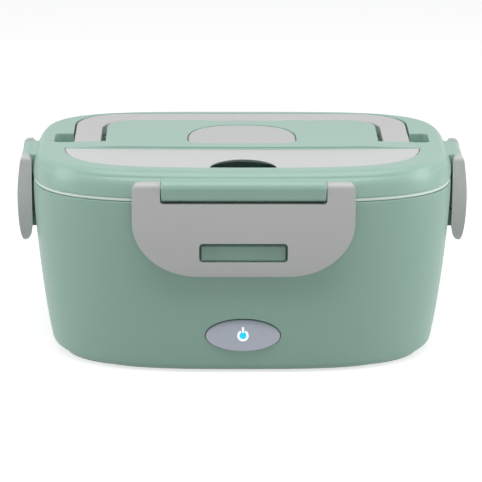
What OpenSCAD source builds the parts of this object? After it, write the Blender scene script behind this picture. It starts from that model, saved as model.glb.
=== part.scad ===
// Electric lunch box: a tapered plastic shell with a heating plate, a steel food container and a
// removable lid that four swinging latches hold. Millimetres, +Z up, the front faces -Y, and the
// origin is on the table under the middle of the box.

/* [Shell] */
// Width across the rim of the shell
rim_w = 224; // [216:1:240]
// Depth across the rim of the shell, front to back
rim_d = 157; // [151:1:170]
// Height of the rim of the shell above the table
rim_z = 93.9; // [88:0.1:110]
// Squareness of the outline seen from above, where 2 is an ellipse
plan_n = 3.4; // [3.2:0.1:3.6]
// How far each end wall leans in on its way down to the base
lean_w = 10; // [6:0.5:12]
// How far the front and back walls lean in on their way down to the base
lean_d = 8; // [6:0.5:10]
// Thickness of the wall of the shell
shell_wall = 2.5; // [2:0.1:3]
// Radius of the bottom edge of the shell
edge_r = 4; // [2:0.5:6]

/* [Lid] */
// Height of the lid above the seal
lid_h = 13.7; // [13.7:0.1:18]
// Thickness of the skin of the lid
lid_skin = 2; // [1.6:0.1:2.2]
// How far the top face of the lid is set in from the front of the rim
shoulder_d = 8; // [7:0.5:8.5]
// How far the top face of the lid is set in from the back of the rim
shoulder_back = 7; // [6:0.2:7.6]
// How far the top face of the lid is set in from the ends of the rim
shoulder_w = 5.6; // [5:0.2:6]
// Height of the seal that shows between the lid and the shell
seal_h = 2.3; // [1.8:0.1:3]
// Height of the raised panel over the top face of the lid
panel_rise = 0.8; // [0.4:0.1:1.2]

/* [Latches] */
// Width of the front and back latches
latch_w = 115.6; // [100:0.2:120]
// Width of the latches at the ends
end_latch_w = 48; // [44:1:52]
// Length of a latch from its pivot to its lower edge
latch_drop = 47.2; // [42:0.1:50]
// Distance from the rim out to the pivots of the latches
pivot_out = 3.2; // [3:0.1:4]
// Radius of a latch round its pivot
arm_r = 3.5; // [3.2:0.1:3.8]
// How far the face of a latch bows out in front of its pivot
latch_bow = 4.3; // [3.8:0.1:4.8]
// Thickness of the plate of a latch
latch_plate = 2.2; // [2:0.1:2.6]
// Width of each arm of the front and back latches
arm_w = 14.6; // [12:0.2:16]
// Width of each arm of the end latches
end_arm_w = 7; // [6:0.5:8]
// Width of the slot in the front and back latches
slot_w = 46; // [36:1:50]
// Width of the slot in the end latches
end_slot_w = 16; // [14:1:20]
// Height of the slot in each latch
slot_h = 10.5; // [9:0.5:11]
// How far the catches stand out in front of the pivots
catch_face = 0.2; // [0:0.1:0.6]
// Diameter of the pins of the latches and the handle
pin_d = 3; // [2.4:0.1:3.4]

/* [Handle] */
// Distance from each end of the rim to the handle
handle_end = 21.4; // [20:0.2:25]
// Width of each leg of the handle
handle_strip = 14.5; // [12:0.5:15]
// Width of the bar of the handle
handle_bar = 17; // [14:0.5:18]
// Thickness of the handle
handle_t = 6; // [5:0.5:6.5]
// Distance from the back of the rim to the bar of the handle
handle_margin = 10.1; // [10:0.1:14]
// Length of each leg of the handle in front of its pivot
handle_heel = 5.8; // [5:0.1:6]

/* [Vent cap] */
// Width of the vent cap
cap_w = 58; // [50:1:64]
// Depth of the vent cap, front to back
cap_d = 46; // [40:1:48]
// Diameter of the steam hole under the cap
steam_d = 6; // [4:0.5:8]

/* [Cutlery] */
// Distance from each end of the rim to the cover of the cutlery bin
cover_end = 17; // [16:0.5:21]
// Distance from the front of the rim to the cover of the cutlery bin
cover_margin = 14.5; // [14:0.5:18]
// Thickness of the cover of the cutlery bin
cover_t = 2; // [1.6:0.1:2.4]
// Radius of the finger notch in the front edge of the cover
notch_r = 17.5; // [14:0.5:20]
// Distance from each end of the cover to the spoon and the fork
cutlery_end = 13; // [11:1:20]
// Width of the bowl of the spoon
spoon_w = 30; // [26:1:32]
// Width of the head of the fork
fork_w = 23; // [20:1:26]

/* [Container] */
// Thickness of the steel of the food container
steel_t = 0.8; // [0.6:0.1:1]
// Radius of the bottom edge of the food container
bowl_r = 10; // [6:1:12]
// Share of the container's half width where the side tray starts
tray_start = 0.32; // [0.2:0.02:0.4]
// Height of the side tray
tray_h = 52; // [40:1:54]

/* [Heater] */
// Height of the top of the heating plate above the table
plate_z = 31.9; // [30:0.1:36]
// Width of the heating plate
plate_w = 124; // [110:1:130]
// Depth of the heating plate
plate_d = 74; // [64:1:80]
// Width of the heater block under the plate
ptc_w = 60; // [50:1:62]

/* [Controls] */
// Width of the power button
button_w = 39.2; // [34:0.2:42]
// Height of the power button
button_h = 17; // [14:0.2:17.4]
// Height of the middle of the power button above the table
button_z = 21.2; // [20:0.1:22]
// Width of the recess for the inlets
inlet_w = 52; // [48:1:56]
// Height of the recess for the inlets
inlet_h = 17; // [16:0.5:18]

/* [Hidden] */

mint = "#9DBFB0";
pale_mint = "#C9E6D9";
grey = "#B9B9BA";
steel = "#C8CACC";
black = "#2B2D2F";

// Shell
foot_h = 1;
lean_curve = 1.6;
fine = 96;
coarse = 64;
rounds = 64;
gap = 0.3;
slip = 0.06;
edge_steps = 3;
wall_share = [0.13, 0.3, 0.47, 0.62, 0.75, 0.88];
base_rim = edge_r + 2;
cover_plate_t = 2.5;
base_z = foot_h + 0.2;
vent_pitch = 7;
vent_y = 14;
vent_slot_w = 2.4;
vent_slot_l = 18;
vent_slot_r = 1.1;
boss_r = 4;
boss_x = rim_w / 2 - 36;
boss_y = rim_d / 2 - 33.5;
boss_h = 9;
rib_l = 16;
rib_t = 2;
rib_turn = 38;
pilot_r = 1.1;
screw_r = 1.4;
screw_head_r = 2.8;
screw_head_t = 1.6;
base_screw_l = 7;
plate_screw_l = 2.6;
clamp_screw_l = 4;
board_screw_l = 5;
small_head_r = 2.4;
small_head_t = 1.4;
foot_r = 8;
foot_x = rim_w / 2 - 56;
foot_y = rim_d / 2 - 34.5;
foot_sink = 0.7;

// Rim, from the shell inwards
ledge_z = rim_z - 2.4;
rim_land = 2.9;
ledge_w = 4.5;
flange_gap = 0.2;
liner_flange_t = 1.2;
liner_gap = 0.5;
liner_wall = 1.6;
liner_inset = ledge_w + liner_gap;
steel_gap = 0.8;
steel_inset = liner_inset + liner_wall + steel_gap;
steel_z = ledge_z + liner_flange_t;

// Heater
plate_flange = 5;
plate_flange_t = 1.2;
gasket_t = 0.8;
liner_floor_z = plate_z - 2.9;
plate_under = liner_floor_z - gasket_t - plate_flange_t;
plate_r = 12;
washer_r = 5;
washer_t = 1.5;
plate_screw_x = plate_w / 2 + plate_flange + 4;
plate_screw_y = 20;
ptc_d = 24;
ptc_t = 5;
clamp_t = 1.5;
clamp_ear = 10;
clamp_d = 14;
thermostat_r = 8;
thermostat_t = 5;
fuse_r = 2.1;
fuse_l = 12;

// Controls
function lean(z) = pow(max(0, rim_z - z) / rim_z, lean_curve);
function half_w(z) = rim_w / 2 - lean_w * lean(z);
function half_d(z) = rim_d / 2 - lean_d * lean(z);
button_t = 3;
button_skin = 1.4;
button_flange = 2;
plunger_l = 2.4;
button_travel = 0.8;
button_y = -half_d(button_z);
button_tilt = atan((half_d(button_z + 5) - half_d(button_z - 5)) / 10);
icon_r = 3;
icon_line = 1.1;
icon_bar = 2.6;
dot_r = 1.75;
board_w = 64;
board_h = 19;
board_t = 1.6;
board_z = 7.5;
board_screw_x = 26;
board_boss_r = 3;
switch_s = 6;
switch_t = 3.5;
nub_r = 1.7;
terminal_x = -18;
terminal_pitch = 5.2;
terminal_d = 8;
terminal_h = 9;
terminal_r = 1.2;
wire_r = 1.1;
wire_start = 0.6;
wire_x = 52;
wire_gap = 3;
wire_sag = 20;
wire_drop = 9;
wire_end = 16;
wire_reach = 12;
inlet_z = 21;
inlet_floor = half_d(inlet_z - inlet_h / 2) - 3.7;
inlet_rim = 2.5;
inlet_back = inlet_rim;
inlet_r = 4;
ac_x = -11;
ac_r = 4.2;
ac_pitch = 7;
ac_body_w = 21;
ac_body_h = 13;
ac_depth = 14;
ac_pin_r = 1.2;
ac_pin_pitch = 6.6;
pin_tail = 4;
dc_x = 15;
dc_r = 2.9;
dc_body_r = 5;
dc_depth = 11;
dc_pin_r = 1;
dc_tail = 3;
flap_t = 1.6;
flap_gap = 0.6;
flap_r = inlet_r + 1;
flap_y = inlet_floor + 1.6;
flap_pivot_z = inlet_z - inlet_h / 2 + flap_gap + flap_t / 2;

// Lid
seal_z = rim_z + 0.1;
skirt_z = rim_z + seal_h;
lid_z = skirt_z + lid_h;
top_z = lid_z + panel_rise;
seal_in = 6;
seal_proud = 0.3;
seal_lip = 0.4;
seal_lip_h = 1;
pan_inset = 9.6;
pan_flange_t = 1.5;
pan_t = 1.5;
pan_h = 5.9;
pan_flange_inset = seal_in + 0.4;
pan_top = skirt_z - 0.2;
pan_floor = pan_top - pan_h;
tub_wall = 1.5;

// Latches: each is drawn for the front, with its pivot at the origin and outwards along -Y
pivot_z = skirt_z + 6.7;
bow_z = 18;
bow_n = 1.7;
tip_out = 1.2;
latch_back = pivot_out - 0.5;
grip_cut = 9.7;
corner_r = 3;
bar_r = arm_r + 1;
end_bar_r = arm_r - 0.2;
block_drop = 6.5;
block_gap = 0.5;
notch_gap = 1.3;
slot_top = 28.7;
slot_r = 2;
catch_gap = 0.3;
pass_gap = 0.2;
skirt_t = 2;
corner_w = 35.5;
end_corner_w = 12;
corner_h = 30;
corner_steps = 12;
pin_l = 15;
end_pin_l = 10;

// Handle
handle_w = rim_w - 2 * handle_end;
handle_back = rim_d / 2 - handle_margin;
handle_r = 28;
handle_in_r = 18;
handle_z = lid_z - 0.3 - handle_t;
handle_pivot_y = 2.2;
handle_pivot_z = handle_z + 2.5;
handle_front = handle_pivot_y - handle_heel;
heel_r = 2;
channel_gap = 0.8;
leg_gap = 2.6;
bar_gap = 5;
channel_z = handle_z - 0.5;
pocket_front = handle_front - 1.2;
pocket_l = 22;
pocket_out = 10.5;
pocket_z = handle_pivot_z - 7;
scoop_w = 22;
scoop_d = 2.8;

// Vent cap and cutlery bin
cap_front = -11;
cap_t = 2.6;
cap_n = 2.4;
cap_front_n = 5;
cap_gap = 0.4;
cap_z = top_z - cap_t;
steam_y = 10;
plug_l = 2.2;
plug_gap = 0.8;
land_w = handle_w / 2 + 2;
land_run = 30;
panel_half = handle_w / 2 - handle_strip - leg_gap;
panel_back = handle_back - handle_bar - bar_gap;
cover_back = -18;
cover_bow = 3;
cover_w = rim_w - 2 * cover_end;
cover_front = rim_d / 2 - cover_margin;
cover_n = 3.5;
cover_gap = 0.4;
cover_z = lid_z - 0.4 - cover_t;
cover_ledge = 2.4;
bin_floor = pan_floor + pan_t + 1.8;
bowl_l = 46;
cutlery_l = cover_w - 2 * cutlery_end;
bowl_x = cutlery_l / 2 - bowl_l / 2;
bin_back = cover_ledge + cover_bow - cover_back;
bin_front = (cover_front - cover_ledge)
    * pow(1 - pow(bowl_x / (cover_w / 2 - cover_ledge), cover_n), 1 / cover_n);
spoon_y = -(bin_back + bin_front) / 2;
cutlery_t = 1.2;
spoon_z = bin_floor + 0.2;
bowl_depth = 5;
neck_w = 7;
grip_w = 14;
fork_lift = 3.1;

// Side tray
tray_wall = 1.6;
tray_gap = 1.2;
tray_z = plate_z + 0.1 + steel_t + 0.2;

// ---- Shared shapes ----

// Points of a rounded oval at one height
function oval(hw, hd, z, count, n = plan_n) = [for (i = [0:count - 1])
    let (c = cos(360 * i / count), s = sin(360 * i / count))
    [hw * sign(c) * pow(abs(c), 2 / n), hd * sign(s) * pow(abs(s), 2 / n), z]];

// An oval parallel to the wall of the shell, set in from it
function wall_ring(z, inset, count) = oval(half_w(z) - inset, half_d(z) - inset, z, count);

// The outline of the shell's rim, set in, as flat points
function rim_outline(inset, count = fine) =
    [for (p = oval(rim_w / 2 - inset, rim_d / 2 - inset, 0, count)) [p[0], p[1]]];

// Closed solid through a list of rings, lowest first
module loft(rings) {
    count = len(rings[0]);
    top = len(rings) - 1;
    sides = [for (r = [0:top - 1], i = [0:count - 1])
        let (j = (i + 1) % count)
        [r * count + i, (r + 1) * count + i, (r + 1) * count + j, r * count + j]];
    caps = [[for (i = [0:count - 1]) i], [for (i = [count - 1:-1:0]) top * count + i]];
    polyhedron(points = [for (r = rings) each r], faces = concat(sides, caps));
}

// Outline with a straight front and rounded back corners
module arch(hw, y0, y1, r) {
    translate([-hw, y0])
        square([2 * hw, y1 - y0 - r]);
    translate([r - hw, y0])
        square([2 * (hw - r), y1 - y0]);
    for (side = [-1, 1])
        translate([side * (hw - r), y1 - r])
            circle(r, $fn = rounds);
}

// Rectangle with round corners
module round_rect(w, d, r) {
    square([w - 2 * r, d], center = true);
    square([w, d - 2 * r], center = true);
    for (x = [-1, 1], y = [-1, 1])
        translate([x * (w / 2 - r), y * (d / 2 - r)])
            circle(r, $fn = rounds);
}

// Extrudes a (Y, Z) outline along X, centred
module along_x(l) {
    rotate([90, 0, 90])
        linear_extrude(l, center = true)
            children();
}

// Extrudes an (X, Z) outline from y0 outwards to y1
module along_y(y0, y1) {
    translate([0, y1, 0])
        rotate([90, 0, 0])
            linear_extrude(y1 - y0)
                children();
}

// A pin or a bore along X from x0 to x1
module x_rod(x0, x1, r) {
    translate([x0, 0, 0])
        rotate([0, 90, 0])
            cylinder(x1 - x0, r = r, $fn = rounds);
}

// Screw with its head down: the head's top face is at z = 0 and the shank goes up
module screw(shank_l, head_r = screw_head_r, head_t = screw_head_t, r = pilot_r) {
    difference() {
        union() {
            translate([0, 0, -head_t])
                cylinder(head_t, r = head_r, $fn = rounds);
            cylinder(shank_l, r = r, $fn = rounds);
        }
        for (turn = [0, 90])
            rotate([0, 0, turn])
                translate([-head_r * 0.6, -0.4, -head_t - 1])
                    cube([head_r * 1.2, 0.8, 1.7]);
    }
}

// Tube through points, as rings around each of them
function unit(v) = v / norm(v);
function tube_ring(p, dir, r, count) =
    let (up = abs(dir[2]) > 0.9 ? [1, 0, 0] : [0, 0, 1],
         u = unit(cross(dir, up)), v = cross(u, dir))
    [for (i = [0:count - 1]) p + r * (cos(360 * i / count) * u + sin(360 * i / count) * v)];
module tube(points, r, count = 8) {
    last = len(points) - 1;
    dirs = [for (i = [0:last]) unit(points[min(i + 1, last)] - points[max(i - 1, 0)])];
    rings = [for (i = [0:last]) tube_ring(points[i], dirs[i], r, count)];
    loft([for (r = rings) [for (i = [count - 1:-1:0]) r[i]]]);
}

// A smooth bend through four points, as a list of points
function bend(a, b, c, d, steps = 8) = [for (i = [0:steps])
    let (t = i / steps, s = 1 - t)
    s * s * s * a + 3 * s * s * t * b + 3 * s * t * t * c + t * t * t * d];

// Repeats children at the four mirrored places
module at_corners(x, y) {
    for (side = [-1, 1], end = [-1, 1])
        translate([side * x, end * y, 0])
            children();
}

// Puts a latch, a catch or a hinge block drawn for the front at one side of the box
module at_front(y) { translate([0, -y, 0]) children(); }
module at_back(y) { rotate([0, 0, 180]) at_front(y) children(); }
module at_left(x) { rotate([0, 0, -90]) at_front(x) children(); }
module at_right(x) { rotate([0, 0, 90]) at_front(x) children(); }

// ---- Base ----

function edge_rings(count) = [for (i = [0:edge_steps - 1])
    let (a = 90 * i / edge_steps)
    wall_ring(foot_h + edge_r * (1 - cos(a)), edge_r * (1 - sin(a)), count)];

module shell_outside() {
    loft(concat(edge_rings(fine), [wall_ring(foot_h + edge_r, 0, fine)],
        [for (z = wall_share) wall_ring(z * rim_z, 0, fine)], [wall_ring(rim_z, 0, fine)]));
}

module shell_inside() {
    top = rim_z - 7;
    loft(concat(
        [wall_ring(0, base_rim, fine), wall_ring(base_z + cover_plate_t + 0.1, base_rim, fine),
         wall_ring(base_z + cover_plate_t + 4, shell_wall, fine)],
        [for (i = [1:5]) wall_ring(base_z + cover_plate_t + 4
            + i * (top - base_z - cover_plate_t - 4) / 5, shell_wall, fine)],
        [wall_ring(rim_z - 4.6, ledge_w, fine), wall_ring(ledge_z, ledge_w, fine),
         wall_ring(ledge_z, rim_land, fine), wall_ring(rim_z + 1, rim_land, fine)]));
}

// Block that a latch snaps over, from the wall out to its face
module catch(w, root) {
    slot_z = -slot_top - slot_h;
    low = slot_z + catch_gap;
    high = -slot_top - 0.9;
    along_x(w - 2)
        polygon([[root, low], [0.6 - catch_face, low], [-catch_face, low + 0.6],
            [-catch_face, high - 1.6], [1.6 - catch_face, high], [root, high]]);
}

module catches() {
    root = pivot_out + 3;
    at_each_pivot() {
        catch(slot_w, root);
        catch(end_slot_w, root);
    }
}

module button_outline(grow) {
    polygon([for (p = oval(button_w / 2 + grow, button_h / 2 + grow, 0, coarse, 2)) [p[0], p[1]]]);
}

// Frame at the middle of the button, with Y along the way it is pressed
module at_button() {
    translate([0, button_y, button_z])
        rotate([-button_tilt, 0, 0])
            children();
}

module inlet_recess(grow) {
    rotate([90, 0, 0])
        translate([0, inlet_z, -rim_d])
            linear_extrude(rim_d - inlet_floor + grow)
                round_rect(inlet_w + 2 * grow, inlet_h + 2 * grow, inlet_r);
}

module ac_outline(grow) {
    for (side = [-1, 1])
        translate([side * ac_pitch / 2, 0])
            circle(ac_r + grow, $fn = rounds);
    square([ac_pitch, 2 * (ac_r + grow) - 1.2], center = true);
}

// Bosses inside the front wall that carry the circuit board
board_y = button_y + button_t + button_travel + switch_t + 3.6;
module board_bosses() {
    for (side = [-1, 1])
        translate([side * board_screw_x, 0, board_z + board_h / 2])
            rotate([-90, 0, 0])
                translate([0, 0, -half_d(board_z) + 1])
                    cylinder(board_y + half_d(board_z) - 1, r = board_boss_r, $fn = rounds);
}

module outer_shell() {
    color(mint)
        difference() {
            union() {
                difference() {
                    shell_outside();
                    shell_inside();
                }
                catches();
                intersection() {
                    shell_outside();
                    union() {
                        inlet_recess(inlet_rim);
                        board_bosses();
                        for (side = [-1, 1], end = [-1, 1])
                            translate([side * boss_x, end * boss_y, base_z + cover_plate_t]) {
                                cylinder(boss_h, r = boss_r, $fn = rounds);
                                rotate([0, 0, end * (90 - side * rib_turn)])
                                    translate([0, -rib_t / 2, 0])
                                        cube([rib_l, rib_t, boss_h]);
                            }
                    }
                }
            }
            inlet_recess(0);
            translate([ac_x, 0, inlet_z])
                along_y(rim_d / 4, rim_d)
                    ac_outline(0);
            translate([dc_x, 0, inlet_z])
                rotate([-90, 0, 0])
                    cylinder(rim_d, r = dc_r + 0.6, $fn = rounds);
            at_button()
                along_y(-5, 9)
                    button_outline(gap);
            for (side = [-1, 1])
                translate([side * board_screw_x, board_y, board_z + board_h / 2])
                    rotate([90, 0, 0])
                        cylinder(6, r = pilot_r, $fn = rounds);
            translate([0, 0, base_z])
                at_corners(boss_x, boss_y)
                    cylinder(boss_h, r = pilot_r, $fn = rounds);
        }
}

module bottom_cover() {
    inset = base_rim + gap + (rim_w / 2 - half_w(base_z));
    inset_d = base_rim + gap + (rim_d / 2 - half_d(base_z));
    color(mint)
        difference() {
            translate([0, 0, base_z])
                linear_extrude(cover_plate_t)
                    polygon([for (p = oval(rim_w / 2 - inset, rim_d / 2 - inset_d, 0, fine))
                        [p[0], p[1]]]);
            at_corners(foot_x, foot_y)
                cylinder(base_z + foot_sink, r = foot_r + 0.1, $fn = rounds);
            at_corners(boss_x, boss_y) {
                cylinder(9, r = screw_r, $fn = rounds);
                cylinder(base_z + screw_head_t - 0.2, r = screw_head_r + 0.3, $fn = rounds);
            }
            for (x = [-5:5], y = [-1, 1])
                translate([x * vent_pitch, y * vent_y, 0])
                    linear_extrude(9)
                        round_rect(vent_slot_w, vent_slot_l, vent_slot_r);
        }
}

module foot_pads() {
    color(black)
        at_corners(foot_x, foot_y)
            cylinder(base_z + foot_sink, r = foot_r, $fn = rounds);
}

module base_screws() {
    color(steel)
        at_corners(boss_x, boss_y)
            translate([0, 0, base_z + screw_head_t - 0.2])
                screw(base_screw_l);
}

function liner_rings(inset, low, high, r) = concat(
    [for (i = [0:2]) let (a = 30 * i)
        wall_ring(low + r * (1 - cos(a)), inset + r * (1 - sin(a)), coarse)],
    [for (i = [0:4]) wall_ring(low + r + (high - low - r) * i / 4, inset, coarse)]);

module liner_screw_holes(r, z) {
    at_corners(plate_screw_x, plate_screw_y)
        translate([0, 0, z])
            cylinder(3, r = r, $fn = rounds);
}

module inner_liner() {
    floor_top = liner_floor_z + liner_wall;
    color("#DDE3E0")
        difference() {
            union() {
                loft(liner_rings(liner_inset, liner_floor_z, ledge_z + 0.5, bowl_r));
                translate([0, 0, ledge_z])
                    linear_extrude(liner_flange_t)
                        polygon(rim_outline(rim_land + flange_gap, coarse));
                at_corners(plate_screw_x, plate_screw_y)
                    translate([0, 0, plate_under])
                        cylinder(liner_floor_z - plate_under + 1, r = washer_r - 1.6, $fn = rounds);
            }
            loft(concat(liner_rings(liner_inset + liner_wall, floor_top, ledge_z, bowl_r - 1),
                [wall_ring(rim_z, liner_inset + liner_wall, coarse)]));
            linear_extrude(rim_z)
                round_rect(plate_w + 2, plate_d + 2, plate_r + 1);
            liner_screw_holes(pilot_r, plate_under - 0.1);
        }
}

module heating_plate() {
    color("#B4B7BA")
        difference() {
            union() {
                translate([0, 0, plate_under])
                    linear_extrude(plate_z - plate_under)
                        round_rect(plate_w, plate_d, plate_r);
                translate([0, 0, plate_under])
                    linear_extrude(plate_flange_t)
                        round_rect(plate_w + 2 * plate_flange, plate_d + 2 * plate_flange, plate_r);
            }
            for (side = [-1, 1])
                translate([side * (ptc_w + clamp_ear) / 2, 0, plate_under - 1])
                    cylinder(4, r = pilot_r, $fn = rounds);
        }
}

module plate_gasket() {
    color("#B8532E")
        translate([0, 0, plate_under + plate_flange_t])
            linear_extrude(gasket_t)
                difference() {
                    round_rect(plate_w + 2 * plate_flange, plate_d + 2 * plate_flange, plate_r);
                    round_rect(plate_w + 0.2, plate_d + 0.2, plate_r);
                }
}

module plate_screws() {
    color(steel)
        at_corners(plate_screw_x, plate_screw_y)
            translate([0, 0, plate_under])
                screw(plate_screw_l, washer_r, washer_t);
}

module ptc_heater() {
    color("#D9D2C0")
        translate([-ptc_w / 2, -ptc_d / 2, plate_under - ptc_t])
            cube([ptc_w, ptc_d, ptc_t]);
}

module heater_clamp() {
    color("#A9ACAE")
        translate([0, 0, plate_under])
            difference() {
                rotate([90, 0, 0])
                    linear_extrude(clamp_d, center = true)
                        difference() {
                            union() {
                                translate([-ptc_w / 2 - clamp_t - 0.1, -ptc_t - clamp_t])
                                    square([ptc_w + 2 * clamp_t + 0.2, ptc_t + clamp_t]);
                                translate([-ptc_w / 2 - clamp_ear, -clamp_t])
                                    square([ptc_w + 2 * clamp_ear, clamp_t]);
                            }
                            translate([-ptc_w / 2 - 0.1, -ptc_t])
                                square([ptc_w + 0.2, ptc_t + 1]);
                        }
                for (side = [-1, 1])
                    translate([side * (ptc_w + clamp_ear) / 2, 0, -5])
                        cylinder(6, r = screw_r, $fn = rounds);
            }
}

module clamp_screws() {
    color(steel)
        for (side = [-1, 1])
            translate([side * (ptc_w + clamp_ear) / 2, 0, plate_under - clamp_t])
                screw(clamp_screw_l, small_head_r, small_head_t);
}

module thermostat() {
    color(black)
        translate([ptc_w / 2 - 8, ptc_d / 2 + thermostat_r + 2, plate_under - thermostat_t]) {
            cylinder(thermostat_t, r = thermostat_r, $fn = rounds);
            for (side = [-1, 1])
                translate([side * 4 - 0.4, -3, -4])
                    cube([0.8, 6, 4.5]);
        }
}

module thermal_fuse() {
    color("#E7E2D6")
        translate([-ptc_w / 2 + 4, ptc_d / 2 + 6, plate_under - fuse_r]) {
            x_rod(0, fuse_l, fuse_r);
            x_rod(-6, fuse_l + 6, 0.5);
        }
}

module control_board() {
    color("#2F6B45")
        difference() {
            translate([-board_w / 2, board_y, board_z])
                cube([board_w, board_t, board_h]);
            for (side = [-1, 1])
                translate([side * board_screw_x, board_y - 1, board_z + board_h / 2])
                    rotate([-90, 0, 0])
                        cylinder(9, r = screw_r, $fn = rounds);
        }
}

module board_screws() {
    color(steel)
        for (side = [-1, 1])
            translate([side * board_screw_x, board_y + board_t, board_z + board_h / 2])
                rotate([90, 0, 0])
                    screw(board_screw_l, small_head_r, small_head_t);
}

// Switch body on the board, under the middle of the button
switch_z = button_z - 2.2;
module tact_switch() {
    color(black)
        translate([0, board_y, switch_z]) {
            translate([-switch_s / 2, -switch_t, -switch_s / 2])
                cube([switch_s, switch_t, switch_s]);
            rotate([90, 0, 0])
                cylinder(switch_t + 1, r = nub_r, $fn = rounds);
        }
}

module status_led() {
    color("#7FC8FF")
        translate([switch_s / 2 + 3.2, board_y, switch_z])
            rotate([90, 0, 0]) {
                cylinder(2.2, r = 1.9, $fn = rounds);
                cylinder(3, r = 1.5, $fn = rounds);
            }
}

module terminal_block() {
    color("#3E8F63")
        for (i = [0:3])
            translate([terminal_x + i * terminal_pitch, board_y + board_t, board_z + 1])
                difference() {
                    cube([terminal_pitch - 0.2, terminal_d, terminal_h]);
                    translate([terminal_pitch / 2 - 0.1, terminal_d + 1, terminal_h / 2])
                        rotate([90, 0, 0])
                            cylinder(terminal_d - 2, r = terminal_r, $fn = rounds);
                }
}

// Ring and bar of the on and off mark, as an outline
module icon_outline(grow) {
    difference() {
        circle(icon_r + grow, $fn = rounds);
        circle(icon_r - icon_line - grow, $fn = rounds);
        translate([-icon_line / 2 - 0.5 + grow, 0])
            square([icon_line + 1 - 2 * grow, 2 * icon_r]);
    }
    translate([-icon_line / 2 - grow, icon_r - icon_bar / 2 - grow])
        square([icon_line + 2 * grow, icon_bar + 2 * grow]);
    circle(dot_r + grow, $fn = rounds);
}

module power_button() {
    color("#A7ABB7")
        at_button() {
            difference() {
                union() {
                    along_y(0, button_t)
                        button_outline(0);
                    along_y(button_t - 0.8, button_t)
                        intersection() {
                            button_outline(0);
                            square([button_w, button_h + 2 * button_flange], center = true);
                        }
                }
                along_y(-1, 0.6)
                    icon_outline(0.02);
                along_y(button_skin, button_t + 1)
                    button_outline(-button_skin);
            }
            translate([0, button_skin, switch_z - button_z])
                rotate([-90, 0, 0])
                    cylinder(button_t - button_skin + plunger_l, r = nub_r, $fn = rounds);
        }
}

module power_icon() {
    color("#8FDCFF")
        at_button()
            along_y(0.05, 0.6)
                icon_outline(-0.02);
}

module ac_inlet() {
    color(black)
        translate([ac_x, inlet_floor - inlet_back - ac_depth, inlet_z])
            difference() {
                union() {
                    translate([-ac_body_w / 2, 0, -ac_body_h / 2])
                        cube([ac_body_w, ac_depth, ac_body_h]);
                    along_y(ac_depth - 0.1, ac_depth + inlet_back)
                        ac_outline(-0.1);
                }
                along_y(2, ac_depth + inlet_back + 1)
                    ac_outline(-1);
                for (side = [-1, 1])
                    translate([side * ac_pin_pitch / 2, -1, 0])
                        rotate([-90, 0, 0])
                            cylinder(4, r = ac_pin_r, $fn = rounds);
            }
}

module ac_pins() {
    color(steel)
        for (side = [-1, 1])
            translate([ac_x + side * ac_pin_pitch / 2, inlet_floor - inlet_back - ac_depth - pin_tail,
                inlet_z])
                rotate([-90, 0, 0])
                    cylinder(ac_depth + pin_tail, r = ac_pin_r, $fn = rounds);
}

module dc_jack() {
    color(black)
        translate([dc_x, inlet_floor - inlet_back - dc_depth, inlet_z])
            rotate([-90, 0, 0])
                difference() {
                    union() {
                        cylinder(dc_depth, r = dc_body_r, $fn = rounds);
                        cylinder(dc_depth + inlet_back, r = dc_r + 0.5, $fn = rounds);
                    }
                    translate([0, 0, 1.5])
                        cylinder(dc_depth + inlet_back, r = dc_r, $fn = rounds);
                    translate([0, 0, -1])
                        cylinder(4, r = dc_pin_r, $fn = rounds);
                }
}

module dc_pin() {
    color(steel)
        translate([dc_x, inlet_floor - inlet_back - dc_depth - dc_tail, inlet_z])
            rotate([-90, 0, 0])
                cylinder(dc_depth + dc_tail, r = dc_pin_r, $fn = rounds);
}

// Soft flap over both inlets, which turns down about its lower edge
module inlet_cover() {
    low = flap_pivot_z;
    high = inlet_z + inlet_h / 2 - flap_gap;
    w = inlet_w - 2 * flap_gap;
    color(grey)
        translate([0, flap_y, 0]) {
            along_y(0, flap_t)
                translate([0, (low + high) / 2])
                    round_rect(w, high - low, flap_r);
            translate([0, flap_t / 2, low])
                x_rod(-w / 2 + 6, w / 2 - 6, flap_t / 2);
            translate([0, 0, high - 3.2])
                rotate([-90, 0, 0])
                    cylinder(flap_t + 0.9, r = 1.6, $fn = rounds);
        }
}

module wiring() {
    board_back = board_y + board_t + terminal_d + wire_start;
    low = board_z + wire_r;
    color("#8A2B22") {
        for (side = [-1, 1])
            let (x = ac_x + side * ac_pin_pitch / 2,
                 y = inlet_floor - inlet_back - ac_depth - pin_tail - wire_start)
                tube(bend([x, y, inlet_z], [x, y - wire_sag, inlet_z - wire_drop],
                    [-wire_x + side * wire_gap, 0, low],
                    [-wire_x + side * wire_gap, -wire_end, low]), wire_r);
        for (side = [0, 1])
            let (x = terminal_x + terminal_pitch * (side + 0.5), z = board_z + terminal_h / 2 + 0.5)
                tube(bend([x, board_back, z], [x, board_back + wire_reach, z],
                    [x - wire_reach - side, board_back + wire_reach, z],
                    [x - wire_reach - side, board_back + 2 * wire_reach, z + wire_r]), wire_r);
        let (y = inlet_floor - inlet_back - dc_depth - dc_tail - wire_start)
            tube(bend([dc_x, y, inlet_z], [dc_x, y - wire_sag, inlet_z - wire_drop],
                [dc_x + wire_sag, 0, low], [dc_x + wire_sag, -wire_end, low]), wire_r);
    }
}

// ---- Food container ----

module food_container() {
    low = plate_z + 0.1;
    color(steel)
        difference() {
            union() {
                loft(liner_rings(steel_inset, low, steel_z + 0.4, bowl_r));
                translate([0, 0, steel_z])
                    linear_extrude(steel_t)
                        polygon(rim_outline(rim_land + flange_gap + 0.4, coarse));
            }
            loft(concat(liner_rings(steel_inset + steel_t, low + steel_t, steel_z, bowl_r - steel_t),
                [wall_ring(rim_z + 1, steel_inset + steel_t, coarse)]));
        }
}

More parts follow.
